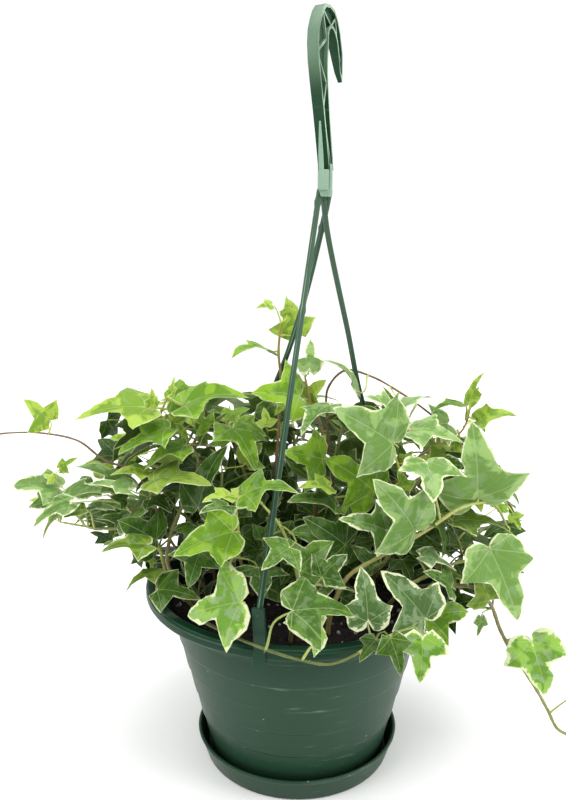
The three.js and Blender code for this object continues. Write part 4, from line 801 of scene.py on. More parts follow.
def grow():
    """Every stem and leaf that has a solid, in the same places."""
    room, draw, plants = Room(), Draw(GROWTH_SEED), []
    for strand in STRANDS:
        angle = math.radians(strand["azimuth"])
        column = [(RIM_RADIUS + 1.6, RIM_TOP - LIP_HEIGHT - 1), (RIM_RADIUS + 1.6, CLIP_TOP_Z)]
        finger = [(RIM_RADIUS - 3, RIM_TOP + 1), (RIM_RADIUS + 1, RIM_TOP + 1)]
        lines = [(evenly(strand_points(strand), STRAND_SAMPLES), STRAND_RADIUS)]
        lines += [([radial(angle, *end) for end in line], CLIP_ROOM) for line in (column, finger)]
        for line, radius in lines:
            room.take(line_samples(line, radius), HANGER_OWNER, 0)
    for vine in VINES:
        main, *branches = vine["routes"]
        onward = [spot(point) for point in main]
        onward += [np.array([x, y, STEM_RADIUS + GAP]) for x, y in vine.get("ground", [])]
        stems = [course(rooted(vine["root"], onward))]
        for route in branches:
            points = [spot(point) for point in route]
            points[0] = stems[0]["fine"][nearest(stems[0]["fine"], points[0])]
            stems.append(course(points))
        plants.append({"name": vine["name"], "stems": stems})
    for vine, plant in enumerate(plants):
        for stem in plant["stems"]:
            room.take(line_samples(stem["fine"], STEM_RADIUS), vine, -1)
    for vine, (plant, entry) in enumerate(zip(plants, VINES)):
        stems, rows = plant["stems"], enumerate(entry["leaves"])
        plant["leaves"] = [seat_read(room, stems, vine, i, *row) for i, row in rows]
    for index in range(RULE_VINES):
        grow_rule_vine(room, draw, plants, index)
    for vine, plant in enumerate(plants[len(VINES):], len(VINES)):
        plant["leaves"], last = [], plant["count"] - 1
        for i in range(plant["count"]):
            share = RULE_PLACES[0] + RULE_PLACES[1] * i / last
            size = draw.spread(*(LAST_SIZE if i == last else RULE_SIZE))
            side = 1 if i % 2 else -1
            stem = plant["stems"][0]["fine"]
            plant["leaves"].append(seat_by_rule(room, draw, stem, share, side, size, vine, i))
    for plant in plants:
        plant["leaves"] = [leaf for leaf in plant["leaves"] if leaf]
    return room, draw, plants


# A fine blade's outline on one side of its midrib: quadratic curves from the notch round
# the basal lobe, the side lobe and the long middle lobe to the apex, each as its control
# point and its end. The named corners are those of the solids.
BASAL_CROWN = (0.21, -0.135)
FINE_HALF = [
    ((0.05, -0.135), BASAL_CROWN),
    ((0.37, -0.135), LOWER_BAY),
    ((0.46, 0.13), SIDE_TIP),
    ((0.37, 0.33), UPPER_BAY),
    ((0.235, 0.47), SHOULDER),
    ((0.13, 0.86), (0.0, 1.0)),
]
# Points on each of those curves, and the rings of a blade as shares of its width.
LARGE_POINTS = (3, 3, 4, 4, 3, 5)
LARGE_RINGS = (0.22, 0.44, 0.64, 0.8, 0.92, 1.0)
SMALL_POINTS = (1, 1, 2, 1, 1, 2)
SMALL_RINGS = (0.6, 1.0)
SMALL_BLADE = 21
BLADE_THICK = 0.3
RIM_THICK = 0.13
RAGGED = 0.015
# How far apart the rings of a stem are, and the radii of a stem's tip, of a branch's foot
# and tip, and of a petiole at its blade, in its middle and at its foot.
RING_LENGTH = 2.6
TIP_RADIUS = 0.68
BRANCH_RADII = (0.85, 0.55)
PETIOLE_RADII = (0.5, 0.56, 0.85)


def turned(profile, steps):
    """A bmesh of a half profile of [radius, height] turned once round the pot's axis."""
    bm = bmesh.new()
    verts = [bm.verts.new((radius, 0, z)) for radius, z in profile]
    edges = [bm.edges.new(pair) for pair in zip(verts, verts[1:])]
    bmesh.ops.spin(
        bm, geom=verts + edges, axis=(0, 0, 1), cent=(0, 0, 0), angle=2 * math.pi, steps=steps,
        use_merge=True,
    )
    bmesh.ops.remove_doubles(bm, verts=bm.verts, dist=0.001)
    bmesh.ops.recalc_face_normals(bm, faces=bm.faces)
    return bm


def finished(bm, name):
    """A mesh from a bmesh, which is freed."""
    mesh = bpy.data.meshes.new(name)
    bm.to_mesh(mesh)
    bm.free()
    return mesh


def rows_of(mesh):
    flat = np.empty(len(mesh.vertices) * 3, dtype=np.float32)
    mesh.vertices.foreach_get("co", flat)
    return flat.reshape(-1, 3).astype(float)


class BladeTemplate:
    """A thin closed disc of spokes and rings, which is warped into each blade."""

    def __init__(self, name, points, rings):
        self.spokes = 2 * sum(points)
        self.points = points
        bm = turned([(share, 0.5) for share in (0.0, *rings)], self.spokes)
        bmesh.ops.solidify(bm, geom=bm.faces[:], thickness=1.0)
        bmesh.ops.recalc_face_normals(bm, faces=bm.faces)
        self.mesh = finished(bm, name)
        at = rows_of(self.mesh)
        self.share = np.hypot(at[:, 0], at[:, 1])
        turn = np.arctan2(at[:, 1], at[:, 0]) / (2 * math.pi)
        self.spoke = np.round(turn * self.spokes).astype(int) % self.spokes
        middle = (at[:, 2].min() + at[:, 2].max()) / 2
        self.side = np.where(at[:, 2] > middle, 1.0, -1.0)


class TubeTemplate:
    """A closed tube of a few sides, which is warped along each stem or petiole."""

    def __init__(self, name, sides, rings, material=1):
        bm = bmesh.new()
        bmesh.ops.create_cone(
            bm, segments=sides, radius1=1, radius2=1, depth=1, cap_ends=True, cap_tris=False,
        )
        upright = [edge for edge in bm.edges if abs(edge.verts[0].co.z - edge.verts[1].co.z) > 0.5]
        bmesh.ops.subdivide_edges(bm, edges=upright, cuts=rings - 2, use_grid_fill=True)
        for face in bm.faces:
            face.material_index = material
        self.mesh = finished(bm, name)
        at = rows_of(self.mesh)
        self.angle = np.arctan2(at[:, 1], at[:, 0])
        self.ring = np.round((at[:, 2] + 0.5) * (rings - 1)).astype(int)
        self.rings = rings


def bezier_half(bends, counts):
    """Points round one half of an outline, the notch first and the apex left out."""
    start, points = (0.0, 0.0), []
    for (control, end), count in zip(bends, counts):
        for i in range(count):
            t = i / count
            points.append([
                (1 - t) ** 2 * s + 2 * t * (1 - t) * c + t * t * e
                for s, c, e in zip(start, control, end)
            ])
        start = end
    return points


def own_half(draw):
    """One half of a leaf's outline with its own lobes and bays.

    The side lobe also moves along the midrib, and the basal lobe hangs down more or less.
    """
    lobe, bay, shoulder = draw.spread(0.9, 1.2), draw.spread(0.58, 1.02), draw.spread(0.76, 1.08)
    lift, droop = draw.spread(-0.04, 0.05), draw.spread(0.7, 1.25)
    bends = []
    for (cx, cy), (ex, ey) in FINE_HALF:
        if (ex, ey) == SIDE_TIP:
            bends.append(((cx * lobe, cy + lift * 0.5), (ex * lobe, ey + lift)))
        elif (ex, ey) == UPPER_BAY:
            bends.append(((cx * lobe, cy + lift), (ex * bay, ey + lift * 0.5)))
        elif (ex, ey) == SHOULDER:
            bends.append(((cx * bay, cy), (ex * shoulder, ey)))
        elif ex == 0:
            bends.append(((cx * shoulder, cy), (ex, ey)))
        else:
            bends.append(((cx, min(cy, cy * droop)), (ex, min(ey, ey * droop))))
    return bends


def fine_outline(draw, counts):
    """A leaf's whole outline, from the notch round to it again."""
    right = bezier_half(own_half(draw), counts)
    left = [(-x, y) for x, y in bezier_half(own_half(draw), counts)]
    outline = np.array(right + [(0.0, 1.0)] + left[:0:-1])
    jitter = np.array([[draw.spread(-RAGGED, RAGGED) for _ in "xy"] for _ in outline])
    jitter[0] = jitter[len(right)] = 0
    return outline + jitter


def fine_blade(leaf, template, draw):
    """Where a blade's template goes, with its attributes."""
    outline = fine_outline(draw, template.points)
    middle = np.array([0.0, BLADE_MIDDLE])
    rim = outline[template.spoke] - middle
    flat = middle + rim * template.share[:, None]
    out, along = flat.T
    size = leaf["length"]
    soft = np.sqrt(out * out + 0.0009) - 0.03
    rise = blade_rise(leaf, soft, along)
    # The rim waves and ripples, the middle lobe and the side lobes bend down, and the blade
    # twists a little.
    turn = template.spoke / template.spokes * 2 * math.pi
    wave = np.sin(turn * draw.spread(2.4, 3.7) + draw.spread(0, 6.3)) * draw.spread(0.012, 0.034)
    ripple = np.sin(turn * 7 + draw.spread(0, 6.3)) * 0.007
    rise += (wave + ripple) * template.share**3 * size
    rise -= draw.spread(0.0, 0.36) * np.clip(along - 0.5, 0, 1) ** 2 * size
    rise -= draw.spread(0.0, 0.3) * np.clip(np.abs(out) - 0.3, 0, 1) * size
    rise += draw.spread(-0.17, 0.17) * out * along * size
    thick = BLADE_THICK + (RIM_THICK - BLADE_THICK) * template.share**2
    rise += template.side * thick
    at = blade_point(leaf, out, along, rise)
    reach = np.hypot(*rim.T) * size
    edge = (1 - template.share) * reach * 0.8
    blade = np.column_stack([out * leaf["wide"], along, np.full(len(out), draw())])
    under = (template.side < 0).astype(float)
    return {"at": at, "blade": blade, "edge": edge, "under": under}


def tube_along(points, radii, template, flute=0.0):
    """Where a tube's template goes along a broken line, turning as little as it can."""
    count = template.rings
    centres, sizes = [], []
    for i in range(count):
        place = (len(points) - 1) * i / (count - 1)
        low = min(int(place), len(points) - 2)
        share = place - low
        centres.append(points[low] * (1 - share) + points[low + 1] * share)
        sizes.append(np.interp(i / (count - 1), np.linspace(0, 1, len(radii)), radii))
    centres = np.array(centres)
    ahead = np.gradient(centres, axis=0)
    ahead /= np.linalg.norm(ahead, axis=1)[:, None]
    side = unit(np.cross(ahead[0], [0.3, 0.8, 0.52]))
    sides = []
    for way in ahead:
        side = unit(side - way * float(side @ way))
        sides.append(side)
    sides = np.array(sides)
    overs = np.cross(ahead, sides)
    ring = template.ring
    turn = template.angle[:, None]
    around = np.cos(turn) * sides[ring] + np.sin(turn) * overs[ring]
    around *= 1 + flute * np.cos(4 * turn)
    return centres[ring] + around * np.array(sizes)[ring][:, None]


class Gathered:
    """Warped copies of templates, gathered into the mesh of one piece."""

    def __init__(self):
        self.parts = []

    def add(self, template, at, tint, **extra):
        """Tint is a colour, or one a vertex; its fourth number is how variegated it is."""
        count = len(at)
        row = {"at": at, "tint": np.tile(tint, (count, 1)) if np.ndim(tint) == 1 else tint}
        row["blade"] = extra.get("blade", np.zeros((count, 3)))
        row["edge"] = extra.get("edge", np.zeros(count))
        row["under"] = extra.get("under", np.zeros(count))
        self.parts.append((template.mesh, row))

    def build(self, name, materials):
        bm = bmesh.new()
        for mesh, _ in self.parts:
            bm.from_mesh(mesh)
        mesh = finished(bm, name)
        keys = self.parts[0][1]
        rows = {key: np.concatenate([row[key] for _, row in self.parts]) for key in keys}
        mesh.vertices.foreach_set("co", (rows["at"] * MM).ravel())
        kinds = {"tint": ("FLOAT_COLOR", "color"), "blade": ("FLOAT_VECTOR", "vector"),
                 "edge": ("FLOAT", "value"), "under": ("FLOAT", "value")}
        for key, (kind, field) in kinds.items():
            layer = mesh.attributes.new(key, kind, "POINT")
            layer.data.foreach_set(field, rows[key].ravel())
        return placed(name, mesh, materials, sharp=55)


def placed(name, mesh, materials, sharp=None):
    """An object at the origin, its mesh smooth but for edges sharper than some degrees."""
    if sharp:
        mesh.shade_smooth()
        mesh.set_sharp_from_angle(angle=math.radians(sharp))
    for material in materials:
        mesh.materials.append(material)
    mesh.update()
    piece = bpy.data.objects.new(name, mesh)
    bpy.context.scene.collection.objects.link(piece)
    return piece


def hold(piece, node):
    """A finished piece rides on the one body and stands for its solid."""
    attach(piece, "root")
    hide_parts(node)


# A blade's colours by how it was read: the range of its green, its stalk's colour, and how
# variegated it is. The dark tones "shade" and "deep" are partly the leaves' own darker
# green and partly painted shade, the shade that falls on leaves inside the crown.
TONES = {
    "grey": ("#779A50", "#A0C076", "#A8B466", 1.15),
    "green": ("#648C14", "#8EB62C", "#A2AC50", 0.55),
    "olive": ("#6E8A24", "#8EA63C", "#A0A850", 0.6),
    "lime": ("#93B432", "#BAD258", "#BCC45A", 0.5),
    "shade": ("#42661A", "#648A2E", "#8A9B4A", 0.7),
    "deep": ("#2B4A08", "#41640E", "#6C7E34", 0.3),
    "cream": ("#7AA43A", "#98C254", "#A8B05C", 1.6),
    "slate": ("#5E7C4A", "#84A06C", "#98A464", 1.4),
    "young": ("#9FC03E", "#BAD45A", "#B8C65C", 0.4),
    "rule": ("#3E6414", "#74982F", "#8A9B4C", 0.55),
}
STEM_COLOURS = {
    "vine_top_shoot": ("#5E4630", "#6F523A", "#97884A"),
    "vine_top_right": ("#5E4630", "#6C4F38", "#90824A"),
    "vine_right_arc": ("#5E4630", "#735640", "#7F6646"),
    "vine_left_runner": ("#66543A", "#6B573F", "#7A6444"),
    "vine_front_runner": ("#3E4220", "#56602A", "#6C7A34"),
    "vine_right_main": ("#7F6F40", "#9C9A58", "#A9B45E"),
    "vine_right_tip": ("#5E4630", "#8C6A4A", "#A08558"),
    "other": ("#66543A", "#7D7F46", "#94A054"),
}
# Branches and runners that are thinner than the rest, as a share.
SLENDER = {
    "vine_front_runner": 0.75, "vine_left_runner": 0.62, "vine_right_arc": 0.72,
    "vine_right_tip": 0.75,
}


def linear(colour, *last):
    """An sRGB hex colour as linear numbers, with a fourth number if there is one."""
    channels = [int(colour[i:i + 2], 16) / 255 for i in (1, 3, 5)]
    linears = [c / 12.92 if c <= 0.04045 else ((c + 0.055) / 1.055) ** 2.4 for c in channels]
    return [*linears, *last]


def between(low, high, share, last=1.0):
    """A colour part of the way from one to another, with a fourth number."""
    return [a + (b - a) * share for a, b in zip(linear(low), linear(high))] + [last]


def stem_tint(name, places):
    """A stem's colour along its length, from its older foot to its green tip."""
    old, middle, tip = STEM_COLOURS.get(name, STEM_COLOURS["other"])
    return np.array([
        between(old, middle, share * 2) if share < 0.5 else between(middle, tip, share * 2 - 1)
        for share in places
    ])


def leaf_templates():
    """The templates that the petioles and blades are warped from."""
    return {
        "blade": BladeTemplate("blade_template", LARGE_POINTS, LARGE_RINGS),
        "small": BladeTemplate("small_blade_template", SMALL_POINTS, SMALL_RINGS),
        "petiole": TubeTemplate("petiole_template", sides=6, rings=9),
        "thin petiole": TubeTemplate("thin_petiole_template", sides=4, rings=5),
    }


def add_leaf(gathered, leaf, templates, draw):
    low, high, stalk, cream = TONES[leaf["tone"]]
    tint = between(low, high, draw(), cream * draw.spread(0.75, 1.25))
    small = leaf["length"] < SMALL_BLADE or leaf.get("small")
    template = templates["small" if small else "blade"]
    blade = fine_blade(leaf, template, draw)
    gathered.add(template, blade.pop("at"), tint, **blade)
    tube = templates["thin petiole" if small else "petiole"]
    slim = min(1.0, 0.58 + leaf["length"] / 90)
    at = tube_along(leaf["petiole"], [radius * slim for radius in PETIOLE_RADII], tube)
    gathered.add(tube, at, between(stalk, low, 0.25 * draw()))


def add_stem(gathered, stem, name, branch, draw):
    stations = stem["stations"]
    count = max(6, int(broken_length(stations) / RING_LENGTH))
    line = np.array([catmull(stations, i / count) for i in range(count + 1)])
    rings = len(line)
    swell = [1.0 + 0.14 * draw.spread(-1, 1) for _ in range(rings)]
    foot, tip = BRANCH_RADII if branch else (STEM_RADIUS, TIP_RADIUS)
    slim = SLENDER.get(name, 1.0)
    radii = []
    for i in range(rings):
        share = i / (rings - 1)
        thin = 1.0 + (slim - 1.0) * min(1.0, share * 3)
        radii.append((foot + (tip - foot) * share) * swell[i] * thin)
    radii[-1] *= 0.6
    tube = TubeTemplate("stem_template", sides=8, rings=rings)
    gathered.add(tube, tube_along(line, radii, tube), stem_tint(name, tube.ring / (rings - 1)))


# Leaves too small or too many for the solids: the minor ones that were read, small ones
# that close the crown as it is seen from the front and from behind, and young ones at the
# tips. They may stand closer together than those of the solids.
FILL_SIZE = (13, 27)
FILL_REACH = 52
TIP_SIZE = (6.5, 10.5)
TIP_TRIES = 14
CLOSER = 0.5
# Each kind of leaf has numbers of its own, by which it knows its own samples.
MINOR_INDEX = 200
TIP_INDEX = 800
FILL_INDEX = 1000
# The picture's squares in pixels, how many blades may lie over one, and the share of a
# small leaf that may stand in front of leaves that have solids.
SQUARE = 8
FILL_LAYERS = 4
HIDES = 0.16
# Squares that no blade covers, down to a lowest row, are tried again at more depths.
GAP_PASSES = 2
LOWEST_GAP = 588
GAP_DEPTHS = (20, 5, -10, -20, -30, -40, -50, -60, -15, -35, -45, -70)


class Cover:
    """How many blades are seen over each small square of the picture."""

    def __init__(self, plants):
        self.layers = {}
        self.nearest = {}
        for plant in plants:
            for leaf in plant["leaves"]:
                self.add(leaf)
                for square, away in self.squares(leaf):
                    self.nearest[square] = min(away, self.nearest.get(square, away))

    def squares(self, leaf):
        """The squares that a leaf's points fall in, and how far off each point is."""
        at = blade_samples(leaf).at
        column, row = seen(at)
        away = np.linalg.norm(at - EYE, axis=1)
        return zip(zip((column // SQUARE).astype(int), (row // SQUARE).astype(int)), away)

    def add(self, leaf):
        for square in {square for square, _ in self.squares(leaf)}:
            self.layers[square] = self.layers.get(square, 0) + 1

    def hides(self, leaf):
        """Whether a leaf would hide ones that are there from the start."""
        before = [away < self.nearest.get(square, 0) for square, away in self.squares(leaf)]
        return sum(before) > HIDES * len(before)

    def over(self, column, row):
        return self.layers.get((int(column // SQUARE), int(row // SQUARE)), 0)


def fill_tone_and_shade(draw, at):
    """Leaves are lighter high up and outside, partly painted light, and deep green low in the
    middle, as painted shade.
    """
    light = (at[2] - 135) / 45 + draw.spread(-0.6, 0.6) + (math.hypot(at[0], at[1]) - 70) / 90
    return "lime" if light > 0.95 else "green" if light > 0.45 else "shade" if light > 0 else "deep"


class Crown:
    """The leaves that only the scene has, each given to the vine that it grows on."""

    def __init__(self, room, draw, plants):
        self.room, self.draw, self.plants = room, draw, plants
        for vine, (plant, entry) in enumerate(zip(plants, VINES)):
            for i, row in enumerate(entry.get("minors", [])):
                self.keep(vine, seat_read(room, plant["stems"], vine, MINOR_INDEX + i, *row))
        room.closer = CLOSER
        lines = [(stem["fine"][FIRST_FOOT:], vine) for vine, plant in enumerate(plants)
                 for stem in plant["stems"]]
        self.at = np.concatenate([line for line, _ in lines])
        self.vine = np.concatenate([np.full(len(line), vine) for line, vine in lines])
        self.cover = Cover(plants)

    def keep(self, vine, leaf):
        if leaf:
            self.plants[vine]["leaves"].append(leaf)

    def fill(self, middle, lean, tone):
        """Tries a small leaf with its middle at a place near a stem, which it grows from."""
        draw = self.draw
        index = nearest(self.at, middle)
        foot, vine = self.at[index], int(self.vine[index])
        outward = unit(np.array([middle[0], middle[1], 0.0]))
        along = unit(outward * 0.4 - UP * 0.3 + unit(middle - foot) * 0.4 + draw.vector() * 0.9)
        face = lean * 0.6 + UP * 0.55 + draw.vector() * 0.5
        size = draw.spread(*FILL_SIZE)
        at = middle - along * size * BLADE_MIDDLE
        if not 6 < length_of(foot - at) < FILL_REACH:
            return
        leaf = blade_frame(
            at, at + along * size, face, wide=draw.spread(0.8, 1.15),
            arch=draw.spread(0.03, 0.14), tone=tone, small=True,
        )
        if not inside_outline(leaf, SIDE_TIP, BASAL_CROWN) or self.cover.hides(leaf):
            return
        seated = seat(self.room, leaf, [foot], vine, FILL_INDEX + len(self.room.rows), False)
        if seated:
            self.keep(vine, seated)
            self.cover.add(seated)

    def scatter(self, count):
        """Tries leaves all over the picture, more thickly from turn to turn."""
        draw = self.draw
        low, high = SILHOUETTE.min(axis=0), SILHOUETTE.max(axis=0)
        for i in range(count):
            column, row = draw.spread(low[0], high[0]), draw.spread(low[1], high[1])
            if self.cover.over(column, row) < FILL_LAYERS * (i + 1) / count + 1:
                at = spot([column, row, draw.spread(-75, 30)])
                self.fill(at, unit(EYE - at), fill_tone_and_shade(draw, at))

    def close_gaps(self):
        """Tries deeper and deeper places behind each square that no blade covers yet."""
        low, high = SILHOUETTE.min(axis=0), SILHOUETTE.max(axis=0)
        columns, rows = (np.arange(*ends, SQUARE) + SQUARE / 2 for ends in zip(low, high))
        squares = [(column, row) for row in rows if row <= LOWEST_GAP for column in columns]
        for column, row in squares * GAP_PASSES:
            if not behind(spot([column, row, 0])):
                continue
            for depth in GAP_DEPTHS:
                if self.cover.over(column, row):
                    break
                at = spot([column, row, depth + self.draw.spread(-5, 5)])
                # Deeper leaves get the darker tone, as painted shade.
                self.fill(at, unit(EYE - at), "deep" if depth < 0 else "shade")

    def surround(self, count):
        """Tries leaves round the sides and the back."""
        draw = self.draw
        for _ in range(count):
            angle, reach = draw.spread(0.9, 2 * math.pi - 0.9), draw.spread(30, 118)
            reach *= 1 - SIDE_SAVING * abs(math.sin(angle))
            at = radial(angle, reach, draw.spread(96, 188))
            self.fill(at, unit(at * [1, 1, 0]), fill_tone_and_shade(draw, at))

    def tip(self, stem, vine, index):
        """A folded young leaf where a stem ends."""
        draw, foot = self.draw, stem[-1]
        heading = unit(stem[-1] - stem[-4])
        for _ in range(TIP_TRIES):
            size = draw.spread(*TIP_SIZE)
            stalk = unit(heading + draw.vector() * 0.5)
            at = foot + stalk * (0.4 * size + 1.6)
            along = unit(heading * 0.9 + draw.vector() * 0.5)
            face = UP * 0.6 + draw.vector() * 0.7 + (EYE - foot) / 900
            leaf = blade_frame(
                at, at + along * size, face, wide=draw.spread(0.6, 0.9), arch=0.1, tone="young",
            )
            seated = seat(self.room, leaf, [foot], vine, index, False)
            if seated:
                return seated
        return None

    def grow(self, count):
        """Grows them all, with as many tries over the picture as round the back."""
        self.scatter(count)
        self.close_gaps()
        self.surround(count)
        for vine, plant in enumerate(self.plants):
            for i, stem in enumerate(plant["stems"]):
                self.keep(vine, self.tip(stem["fine"], vine, TIP_INDEX + i))


def bevelled(bm, edges, offset):
    """The faces that round a moulding's edges."""
    return bmesh.ops.bevel(
        bm, geom=edges, offset=offset, segments=2, profile=0.5, affect="EDGES", material=-1,
        clamp_overlap=True,
    )["faces"]


def spun(profile, name, round_by, material):
    """A closed turned body from a half profile of [radius, height], its rings softened."""
    bm = turned(profile, TURN_STEPS)
    worn_and_lit_mark = bm.faces.layers.float.new("edge")
    level = [edge for edge in bm.edges if edge.is_manifold and edge.calc_face_angle() > 0.3]
    level = [edge for edge in level if abs(edge.verts[0].co.z - edge.verts[1].co.z) < 1e-4]
    made = bevelled(bm, level, round_by)
    # Every face takes the painted light band, and the bevelled ring edges are rubbed pale, which
    # paints their highlights.
    for face in bm.faces:
        face[worn_and_lit_mark] = 0.5
    for face in made:
        face[worn_and_lit_mark] = 1.0
    bmesh.ops.transform(bm, matrix=Matrix.Scale(MM, 4), verts=bm.verts)
    return placed(name, finished(bm, name), [material], sharp=42)


def pot_profile():
    profile = [(0, 4), (42, 4), (42.6, FOOT_Z), (46, FOOT_Z), (47, 4)]
    for i in range(RING_COUNT):
        z = LOWEST_RING_Z + RING_PITCH * i
        radius = LOWEST_RING_RADIUS + RING_STEP * i
        profile += [(radius - RING_LEDGE, z - 0.4), (radius, z + 0.4)]
    lip_bottom = RIM_TOP - LIP_HEIGHT
    inner = [(pot_inner_radius(z), z) for z in (94, NECK_Z, LOWEST_RING_Z, INNER_FLOOR_Z)]
    return profile + [
        (NECK_RADIUS + 2.9, 89.6), (MOUTH_RADIUS - 0.4, lip_bottom - 0.4),
        (RIM_RADIUS - 0.9, lip_bottom), (RIM_RADIUS, lip_bottom + 1),
        (RIM_RADIUS, RIM_TOP - 1.2), (RIM_RADIUS - 1.2, RIM_TOP),
        (MOUTH_RADIUS + 0.5, RIM_TOP), (MOUTH_RADIUS, RIM_TOP - 0.6), *inner, (0, INNER_FLOOR_Z),
    ]


def saucer_profile():
    return [
        (0, 0), (SAUCER_BASE_RADIUS, 0), (SAUCER_BASE_RADIUS + 1.2, 0.8),
        (SAUCER_LIP_RADIUS - 0.8, SAUCER_LIP_Z - 1.8), (SAUCER_LIP_RADIUS, SAUCER_LIP_Z - 0.9),
        (SAUCER_LIP_RADIUS, SAUCER_LIP_Z - 0.1), (SAUCER_LIP_RADIUS - 0.9, SAUCER_LIP_Z + 0.4),
        (SAUCER_LIP_RADIUS - 2, SAUCER_LIP_Z - 0.3), (SAUCER_BASE_RADIUS - 0.2, SAUCER_FLOOR),
        (0, SAUCER_FLOOR),
    ]


# The side on which the hook's ribs are seen, and how far out along it its web reaches; the
# rib faces that reach past it are rubbed pale, which paints their highlights.
HOOK_SIDE = (0.940, -0.333, 0.0756)
HOOK_WEB = 0.0397
# How far the edges of the hook, the boss and the clips are rounded.
HOOK_EDGE = 0.25
BOSS_EDGE = 0.4
CLIP_EDGE = 0.35


def softened(node, name, bevel, material, side=None, reach=0):
    """A solid's form with its moulding's rounded edges, from a merged copy of its mesh.

    The lips and ribs of a side, those of its faces that reach out furthest, are worn too: like
    the rounded edges they are rubbed pale, which also paints their highlights. Faces towards
    the front are marked to take a painted light band.
    """
    bm = bmesh.new()
    bm.from_mesh(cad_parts[node].data)
    bmesh.ops.remove_doubles(bm, verts=bm.verts, dist=1e-6)
    bmesh.ops.recalc_face_normals(bm, faces=bm.faces)
    bmesh.ops.dissolve_limit(
        bm, angle_limit=math.radians(1), verts=bm.verts, edges=bm.edges,
        use_dissolve_boundaries=False,
    )
    worn_and_lit_mark = bm.faces.layers.float.new("edge")
    sharp = [edge for edge in bm.edges if edge.is_manifold and edge.calc_face_angle() > 0.6]
    made = bevelled(bm, sharp, bevel * MM)
    for face in bm.faces:
        middle = face.calc_center_median()
        # Faces towards the front take the painted light band; the outermost rib faces and the
        # bevels are rubbed pale, which paints their highlights.
        face[worn_and_lit_mark] = 0.5 if face.normal.y < -0.4 and middle.y < 0 else 0.0
        if side is not None and face.normal.dot(side) > 0.9 and middle.dot(side) > reach:
            face[worn_and_lit_mark] = 1.0
    for face in made:
        face[worn_and_lit_mark] = 1.0
    return placed(name, finished(bm, name), [material], sharp=35)


# A Mix node for colours has its share, its two colours and their mixture at these sockets.
SHARE, FIRST, SECOND, MIXED = 0, 6, 7, 2
COLOURS = {"data_type": "RGBA"}
SMOOTH = {"interpolation_type": "SMOOTHSTEP"}


def add(tree, kind, inputs, output=0, **settings):
    """The output of a new node, whose inputs are set or fed by other nodes' outputs.

    The inputs come in their order, or by their names or numbers.
    """
    node = tree.nodes.new("ShaderNode" + kind)
    for key, value in settings.items():
        setattr(node, key, value)
    for key, value in inputs.items() if isinstance(inputs, dict) else enumerate(inputs):
        if isinstance(value, bpy.types.NodeSocket):
            tree.links.new(value, node.inputs[key])
        else:
            node.inputs[key].default_value = value
    return node.outputs[output]


def material_of(name, look, *values):
    """A named material from a look, a function that adds its nodes and gives its shader."""
    material = bpy.data.materials.new(name)
    material.use_nodes = True
    tree = material.node_tree
    tree.nodes.clear()
    output = tree.nodes.new("ShaderNodeOutputMaterial")
    tree.links.new(look(tree, *values), output.inputs[0])
    return material


